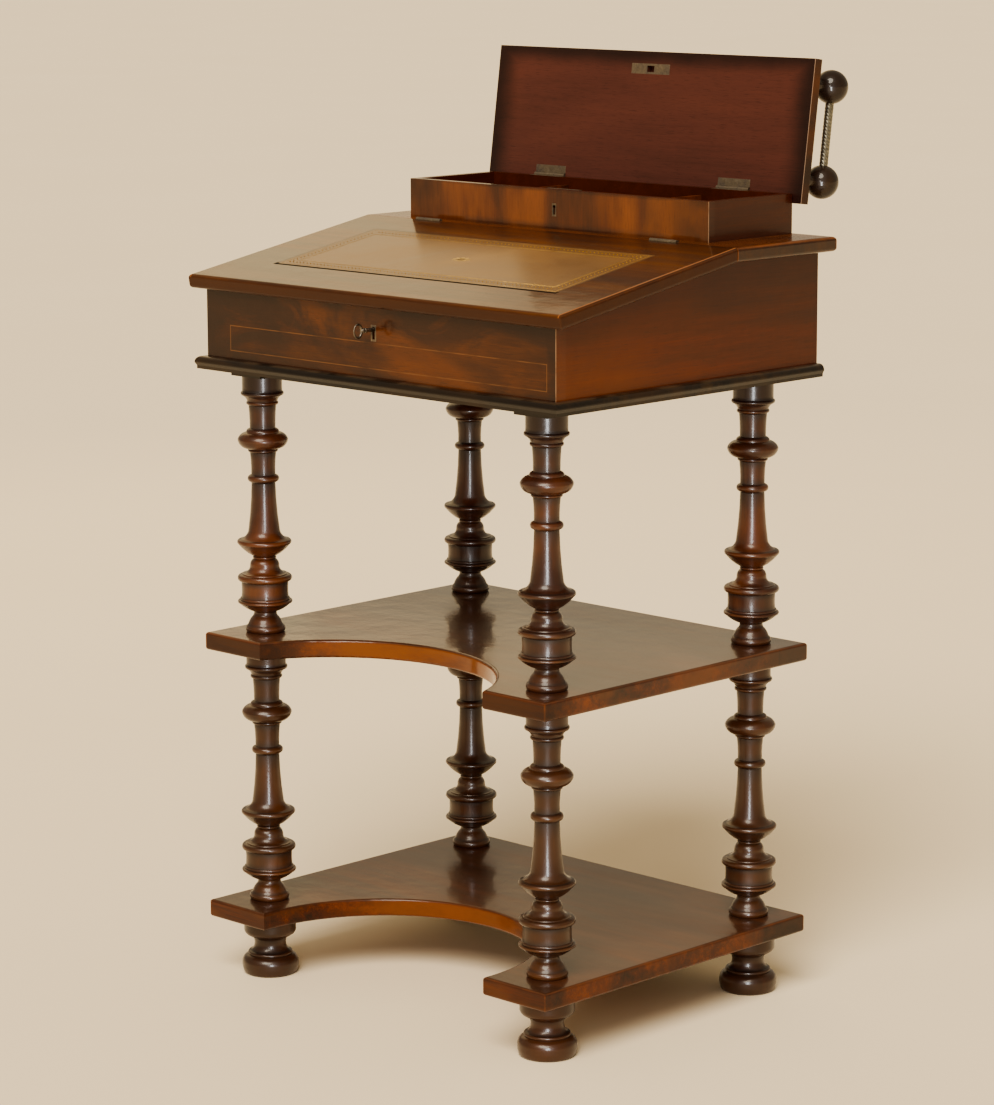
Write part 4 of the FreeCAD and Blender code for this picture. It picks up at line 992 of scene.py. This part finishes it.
lid = dict(
    halfWidth=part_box("lid_board")[1].x, front=-0.1375, under=0.0003,
    frontShare=1.6, ragged=(14.0, 4.0), raggedMost=0.02,
    border="#190c0a", borderFrom=(0.012, 0.046), borderMost=0.85,
    skin=(0.0006, 0.0002), side=[(0.35, "#2c1a13"), (0.65, "#5a3013")], sidePatches=22.0, sideMost=0.85,
    arris="#b49a8a", arrisFrom=(0.0002, 0.0006), arrisMost=0.8,
)


def lidFinish(tree, coords, colour, rough):
    # darker borders round a redder field, darker ends, and a painted highlight line at the lower right arris
    x, y, z = axes(tree, coords)
    edgeX = minus(tree, lid["halfWidth"], absolute(tree, x))
    edgeY = times(tree, minus(tree, y, lid["front"]), lid["frontShare"])
    ragged = times(tree, cloud(tree, coords, *lid["ragged"]), lid["raggedMost"])
    inwards = plus(tree, least(tree, edgeX, edgeY), ragged)
    border = spanned(tree, inwards, *lid["borderFrom"], lid["borderMost"], 0.0)
    colour = stained(tree, border, colour, lid["border"])
    side = spanned(tree, x, *(lid["halfWidth"] - deep for deep in lid["skin"]))
    patches = ramped(tree, cloud(tree, coords, lid["sidePatches"]), lid["side"])
    colour = mixed(tree, times(tree, side, lid["sideMost"]), colour, patches)
    # a painted highlight along the lower right arris
    corner = plus(tree, minus(tree, lid["halfWidth"], x), minus(tree, z, lid["under"]))
    arris = spanned(tree, corner, *lid["arrisFrom"], lid["arrisMost"], 0.0)
    return stained(tree, arris, colour, lid["arris"]), rough


lidWood = oldPolish(
    "x", "#341e18", "#542e27", "#64372c", amberTint="#6b3b2c", amberFrom=0.5, streak=(5, 100),
    figure=(3, 9), patch=(3, 6), shares=(0.15, 0.12, 0.3), poreDepth=0.4,
    gloss=0.45, coat=0.35, coatRough=0.2,
)
dress(polishedWood("lidWood", lidWood, pivot=onLid, extra=lidFinish), "lid_board")

ball = dict(patches=(34.0, 3.0, 0.34, 0.62, 0.25, 0.75), browned="#21140f")


def ballFinish(tree, coords, colour, rough):
    return stained(tree, patchy(tree, coords, *ball["patches"]), colour, ball["browned"]), rough


dress(ebonised("ballPolish", ballFinish), *[f"gallery_ball_{corner}" for corner in corners])
for corner in corners:
    turnedWork.objects.link(nodes[f"gallery_ball_{corner}"])
print("stage: stationery box")


# brass, steel and the twisted gallery rods

metalSurface = dict(
    bloom=(5.0, 0.65, 0.3), tonesAt=(0.35, 0.55, 0.7), metalFrom=(0.3, 0.6), roughFrom=(0.3, 0.7),
    stretch=(900, 120, 300), scratches=(3.0, 0.6), scratchRough=0.08, relief=0.15, depth=0.0002,
)
metals = dict(
    oldBrass=dict(tones=("#584e46", "#867a6b", "#a59b8e"), bloom=70, rough=(0.6, 0.42), metal=(0.5, 1.0)),
    wornSteel=dict(tones=("#453f39", "#766e66", "#a39c93"), bloom=120, rough=(0.5, 0.3), metal=(0.75, 1.0)),
    rodBrass=dict(tones=("#6b6860", "#8e8b80", "#aeaba0"), bloom=150, rough=(0.46, 0.36), metal=(0.85, 1.0)),
)


def agedMetal(name):
    # tarnish in clouds over a fine-scratched surface
    metal, surface = metals[name], metalSurface
    material, tree, shader = newMaterial(name)
    coords = objectCoords(tree)
    clouds = cloud(tree, coords, metal["bloom"], *surface["bloom"])
    scratches = cloud(tree, stretched(tree, coords, surface["stretch"]), 1.0, *surface["scratches"])
    rough = spanned(tree, clouds, *surface["roughFrom"], *metal["rough"])
    fill(tree, shader, {
        "Base Color": ramped(tree, clouds, list(zip(surface["tonesAt"], metal["tones"]))),
        "Metallic": spanned(tree, clouds, *surface["metalFrom"], *metal["metal"]),
        "Roughness": plus(tree, rough, times(tree, scratches, surface["scratchRough"])),
        "Normal": bumped(tree, surface["relief"], surface["depth"], scratches),
    })
    return material


oldBrass, wornSteel, rodBrass = (agedMetal(name) for name in metals)
brassParts = dict(
    slope=["hinge_fixed_leaves", "hinge_moving_leaves", "hinge_pins", "lock_strike"],
    lid=["hinge_fixed_leaves", "hinge_moving_leaves", "hinge_pins", "lock_strike"],
    desk=["escutcheon", "lock_case"],
    stationery=["escutcheon", "lock_case"],
)
dress(oldBrass, *[f"{place}_{part}" for place, parts in brassParts.items() for part in parts])
dress(wornSteel, "desk_lock_bolt", "stationery_lock_bolt")

rod = dict(length=0.1, strands=4, offset=0.0014, strand=0.0031, facets=12, pitch=0.015, stepsPerTurn=26)


def rodTree():
    # strands of one helix, set round the rod's middle
    tree, given, output = geometryTree("twistedRod", [
        ("Length", "Float", rod["length"]), ("Turns", "Float", rod["length"] / rod["pitch"]),
        ("Strands", "Int", rod["strands"]), ("Offset", "Float", rod["offset"]),
        ("Strand Radius", "Float", rod["strand"]), ("Steps Per Turn", "Int", rod["stepsPerTurn"]),
        ("Material", "Material", None),
    ])
    helix = put(tree, "GeometryNodeCurveSpiral", {
        "Resolution": given["Steps Per Turn"], "Rotations": given["Turns"], "Height": given["Length"],
        "Start Radius": given["Offset"], "End Radius": given["Offset"],
    }).outputs[0]
    inputs = {"Resolution": rod["facets"], "Radius": given["Strand Radius"]}
    section = put(tree, "GeometryNodeCurvePrimitiveCircle", inputs).outputs[0]
    inputs = {"Curve": helix, "Profile Curve": section, "Fill Caps": True}
    twine = put(tree, "GeometryNodeCurveToMesh", inputs).outputs[0]
    middles = put(tree, "GeometryNodePoints", {"Count": given["Strands"]}).outputs[0]
    share = calc(tree, "DIVIDE", put(tree, "GeometryNodeInputIndex").outputs[0], given["Strands"])
    turn = put(tree, "ShaderNodeCombineXYZ", {2: times(tree, share, math.tau)}).outputs[0]
    inputs = {"Points": middles, "Instance": twine, "Rotation": turn}
    strands = put(tree, "GeometryNodeInstanceOnPoints", inputs).outputs[0]
    smooth = put(tree, "GeometryNodeSetShadeSmooth", {0: strands}).outputs[0]
    finished(tree, smooth, given["Material"], output)
    return tree


twist = rodTree()
gallery = dict(half=0.2095, front=-0.1125, rear=-0.0147, rise=0.0470, ballEdge=0.0128)


def galleryRod(side, start, end):
    # start and end are (x, y) on the lid
    start, end = (Vector((*place, gallery["rise"])) for place in (start, end))
    run = end - start
    aim = Vector((0, 0, 1)).rotation_difference(run).to_matrix().to_4x4()
    values = {"Length": run.length, "Turns": run.length / rod["pitch"], "Material": rodBrass}
    piece = grown(f"twisted_rod_{side}", twist, values, onLid @ Matrix.Translation(start) @ aim)
    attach(piece, "lid")
    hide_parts(f"gallery_rail_{side}")


half, edge = gallery["half"], gallery["ballEdge"]
for side, x in (("left", -half), ("right", half)):
    galleryRod(side, (x, gallery["front"] + edge), (x, gallery["rear"] - edge))
galleryRod("rear", (edge - half, gallery["rear"]), (half - edge, gallery["rear"]))


# slotted screws in the hinge leaves and the strike

screw = dict(head=0.0021, rise=0.00015, slotWidth=0.00055, slotDepth=0.0004, sides=28, seed=7)


def screwTree():
    # a low head, cut by a slot that is turned at random
    tree, given, output = geometryTree("slottedScrews", [
        ("Head Radius", "Float", screw["head"]), ("Head Rise", "Float", screw["rise"]),
        ("Slot Width", "Float", screw["slotWidth"]), ("Slot Depth", "Float", screw["slotDepth"]),
        ("Seed", "Int", screw["seed"]), ("Material", "Material", None),
    ], takesGeometry=True)
    thick = times(tree, given["Head Rise"], 3.0)
    inputs = {"Vertices": screw["sides"], "Radius": given["Head Radius"], "Depth": thick}
    head = put(tree, "GeometryNodeMeshCylinder", inputs).outputs["Mesh"]
    long = times(tree, given["Head Radius"], 3.0)
    inputs = {0: long, 1: given["Slot Width"], 2: given["Slot Depth"]}
    size = put(tree, "ShaderNodeCombineXYZ", inputs).outputs[0]
    cutter = put(tree, "GeometryNodeMeshCube", {"Size": size}).outputs[0]
    lift = put(tree, "ShaderNodeCombineXYZ", {2: times(tree, thick, 0.5)}).outputs[0]
    raised = put(tree, "GeometryNodeTransform", {"Geometry": cutter, "Translation": lift}).outputs[0]
    inputs = {"Mesh 1": head, "Mesh 2": raised}
    slotted = put(tree, "GeometryNodeMeshBoolean", inputs, operation="DIFFERENCE").outputs[0]
    inputs = {2: 0.0, 3: math.pi, "Seed": given["Seed"]}
    turn = put(tree, "FunctionNodeRandomValue", inputs, data_type="FLOAT").outputs[1]
    spin = put(tree, "ShaderNodeCombineXYZ", {2: turn}).outputs[0]
    inputs = {"Points": given["Geometry"], "Instance": slotted, "Rotation": spin}
    placed = put(tree, "GeometryNodeInstanceOnPoints", inputs).outputs[0]
    finished(tree, placed, given["Material"], output)
    return tree


screws = screwTree()


def screwRow(name, body, places, matrix):
    seed = bpy.data.meshes.new(name + "Places")
    seed.from_pydata(places, [], [])
    piece = grown(name, screws, {"Material": oldBrass}, matrix, seed)
    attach(piece, body)


lidHinge = dict(spread=0.262, row=0.0067, every=0.0148)
strike = dict(halfSpread=0.0190, row=-0.1191)
leafRun = [
    side * lidHinge["spread"] / 2 + step * lidHinge["every"] for side in (-1, 1) for step in (-1, 0, 1)
]
lidPlaces = [(-x, -lidHinge["row"], 0.0) for x in leafRun]
lidPlaces += [(side * strike["halfSpread"], strike["row"], 0.0) for side in (1, -1)]
flipped = onLid @ Matrix.Translation((0, 0, lid["under"])) @ Matrix.Rotation(math.pi, 4, "Y")
screwRow("lid_screws", "lid", lidPlaces, flipped)
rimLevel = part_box("stationery_back")[1].z
screwRow(
    "rim_screws", "stand", [(x, lidAxis.y - lidHinge["row"], rimLevel) for x in leafRun], Matrix.Identity(4)
)
print("stage: metalwork")


# the key: an oval wire bow, a collared shank and its bit

key = dict(
    bowHigh=0.0078, bowWide=0.0063, bowSteps=64, bowIn=0.0066, wire=0.00115, wireSides=12, swell=0.25,
    shank=0.002, shankSides=28, overlap=0.0022, tip=(0.0006, 0.7),
    collars=[  # (way along the shank, share of its radius)
        (0.0, 0.7), (0.0012, 1.25), (0.0022, 1.45), (0.0032, 1.2), (0.0038, 1.0),
        (0.0050, 1.0), (0.0054, 1.3), (0.0064, 1.3), (0.0068, 1.0),
    ],
    bit=(0.0022, 0.006, 0.007), bitBack=0.0045, bitDrop=0.0045, sharpest=math.radians(40),
)


def around(count):
    return [math.tau * k / count for k in range(count)]


def skin(mesh, here, after):
    # quads between two rings of points
    count = len(here)
    for k in range(count):
        mesh.faces.new((here[k], here[(k + 1) % count], after[(k + 1) % count], after[k]))


def keyPiece():
    low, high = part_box("desk_key")
    axisZ = joints["key_turn"]["pos_m"][2]
    bow = Vector((0.0, low.y + key["bowIn"], axisZ))
    mesh = bmesh.new()
    rings = []
    wide, tall = key["bowWide"], key["bowHigh"]
    for angle in around(key["bowSteps"]):
        out = Vector((0.0, math.cos(angle) * wide, math.sin(angle) * tall))
        normal = Vector((0.0, math.cos(angle) / wide, math.sin(angle) / tall)).normalized()
        thick = key["wire"] * (1.0 + key["swell"] * math.cos(angle))
        spot = bow + out - normal * key["wire"]
        rings.append([
            mesh.verts.new(spot + thick * (normal * math.cos(a) + Vector((1, 0, 0)) * math.sin(a)))
            for a in around(key["wireSides"])
        ])
    for here, after in zip(rings, rings[1:] + rings[:1]):
        skin(mesh, here, after)

    thin, start, reach = key["shank"], wide - key["overlap"], high.y - bow.y
    tipRun, tipShare = key["tip"]
    shank = [(start + run, thin * share) for run, share in key["collars"]]
    shank += [(reach - tipRun, thin), (reach, thin * tipShare)]
    loops = [
        [
            mesh.verts.new((radius * math.cos(a), bow.y + run, axisZ + radius * math.sin(a)))
            for a in around(key["shankSides"])
        ]
        for run, radius in shank
    ]
    for here, after in zip(loops, loops[1:]):
        skin(mesh, here, after)
    mesh.faces.new(loops[0])
    mesh.faces.new(list(reversed(loops[-1])))

    bitMiddle = Vector((0.0, high.y - key["bitBack"], axisZ - key["bitDrop"]))
    for vert in bmesh.ops.create_cube(mesh, size=1.0)["verts"]:
        vert.co = bitMiddle + vert.co * Vector(key["bit"])
    bmesh.ops.recalc_face_normals(mesh, faces=mesh.faces)
    data = bpy.data.meshes.new("key_forged")
    mesh.to_mesh(data)
    mesh.free()
    data.shade_smooth()
    data.set_sharp_from_angle(angle=key["sharpest"])
    data.materials.append(wornSteel)
    piece = added("key_forged", data)
    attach(piece, "key")
    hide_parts("desk_key")


keyPiece()
print("stage: key")


# floor, light and camera

studio = dict(
    world=(1.0, 0.84, 0.60, 1.0), worldStrength=0.42, aimAt=(0, 0, 0.5), look="AgX - Medium High Contrast",
    floor="#fbebd0", stain="#f0dcbc", wash=(1.4, 4.0), washMost=0.3, floorReach=400.0, floorRough=0.9,
    floorShine=0.1,
    daylight=("daylight", (1.6, -3.0, 4.2), 3.3, 35, (1.0, 0.91, 0.76)),
    softboxes=[
        ("wallWide", (-2.56, 1.7, 1.95), (2.5, 1.9), 3.4, (1.0, 0.71, 0.33)),
        ("wallMiddle", (-2.72, 1.55, 2.0), (2.1, 2.0), 3.2, (1.0, 0.72, 0.34)),
        ("wallNarrow", (-2.88, 1.4, 2.05), (1.7, 2.1), 3.2, (1.0, 0.74, 0.36)),
        ("keySoftbox", (2.2, -3.2, 1.5), (0.7, 0.9), 14.0, (1.0, 0.95, 0.88)),
    ],
    turnedLight=("turnedSoftbox", (1.68, -1.56, 0.55), (0.42, 1.1), 40.0, (0.93, 0.97, 1.0)),
)


def makeFloor():
    reach = studio["floorReach"]
    mesh = bpy.data.meshes.new("floor")
    sheet = [(-reach, -reach, 0), (reach, -reach, 0), (reach, reach, 0), (-reach, reach, 0)]
    mesh.from_pydata(sheet, [], [(0, 1, 2, 3)])
    material, tree, shader = newMaterial("paleFloor")
    wash = times(tree, cloud(tree, objectCoords(tree), *studio["wash"]), studio["washMost"])
    fill(tree, shader, {
        "Base Color": stained(tree, wash, tint(studio["floor"]), studio["stain"]),
        "Roughness": studio["floorRough"],
        "Specular IOR Level": studio["floorShine"],
    })
    mesh.materials.append(material)
    added("floor", mesh)


def lamp(name, kind, place, power, colour):
    light = bpy.data.lights.new(name, kind)
    light.energy, light.color = power, colour
    item = added(name, light)
    item.location = place
    item.rotation_euler = (Vector(studio["aimAt"]) - item.location).to_track_quat("-Z", "Y").to_euler()
    item.visible_camera = False
    return item


def softbox(name, place, size, power, colour):
    item = lamp(name, "AREA", place, power, colour)
    item.data.shape, item.data.size, item.data.size_y = "RECTANGLE", *size
    return item


def makeLight():
    world = bpy.data.worlds.new("studioWorld")
    bpy.context.scene.world = world
    world.use_nodes = True
    backdrop = next(n for n in world.node_tree.nodes if n.type == "BACKGROUND")
    backdrop.inputs[0].default_value = studio["world"]
    backdrop.inputs[1].default_value = studio["worldStrength"]
    view = bpy.context.scene.view_settings
    if view.view_transform == "AgX":
        view.look = studio["look"]
    for box in studio["softboxes"]:
        softbox(*box)
    softbox(*studio["turnedLight"]).light_linking.receiver_collection = turnedWork
    name, place, power, spread, colour = studio["daylight"]
    lamp(name, "SUN", place, power, colour).data.angle = math.radians(spread)


camera = dict(
    fromColumns=(2.6513, -2.7142, 1.1633), azimuth=math.radians(44.469), elevation=math.radians(10.478),
    roll=math.radians(-0.189), lens=120.77, sensor=36.0,
)


def makeCamera():
    data = bpy.data.cameras.new("camera")
    data.sensor_fit, data.lens = "AUTO", camera["lens"]
    data.sensor_width = data.sensor_height = camera["sensor"]
    item = added("camera", data)
    az, el = camera["azimuth"], camera["elevation"]
    back = Vector((math.sin(az) * math.cos(el), -math.cos(az) * math.cos(el), math.sin(el)))
    turn = back.to_track_quat("Z", "Y").to_matrix().to_4x4() @ Matrix.Rotation(camera["roll"], 4, "Z")
    columnsMiddle = sum((middleOf(f"foot_{corner}") for corner in corners), Vector()) / 4
    place = Vector(camera["fromColumns"]) + Vector((0, columnsMiddle.y, 0))
    item.matrix_world = Matrix.Translation(place) @ turn
    bpy.context.scene.camera = item


makeFloor()
makeLight()
makeCamera()
print("stage: studio")
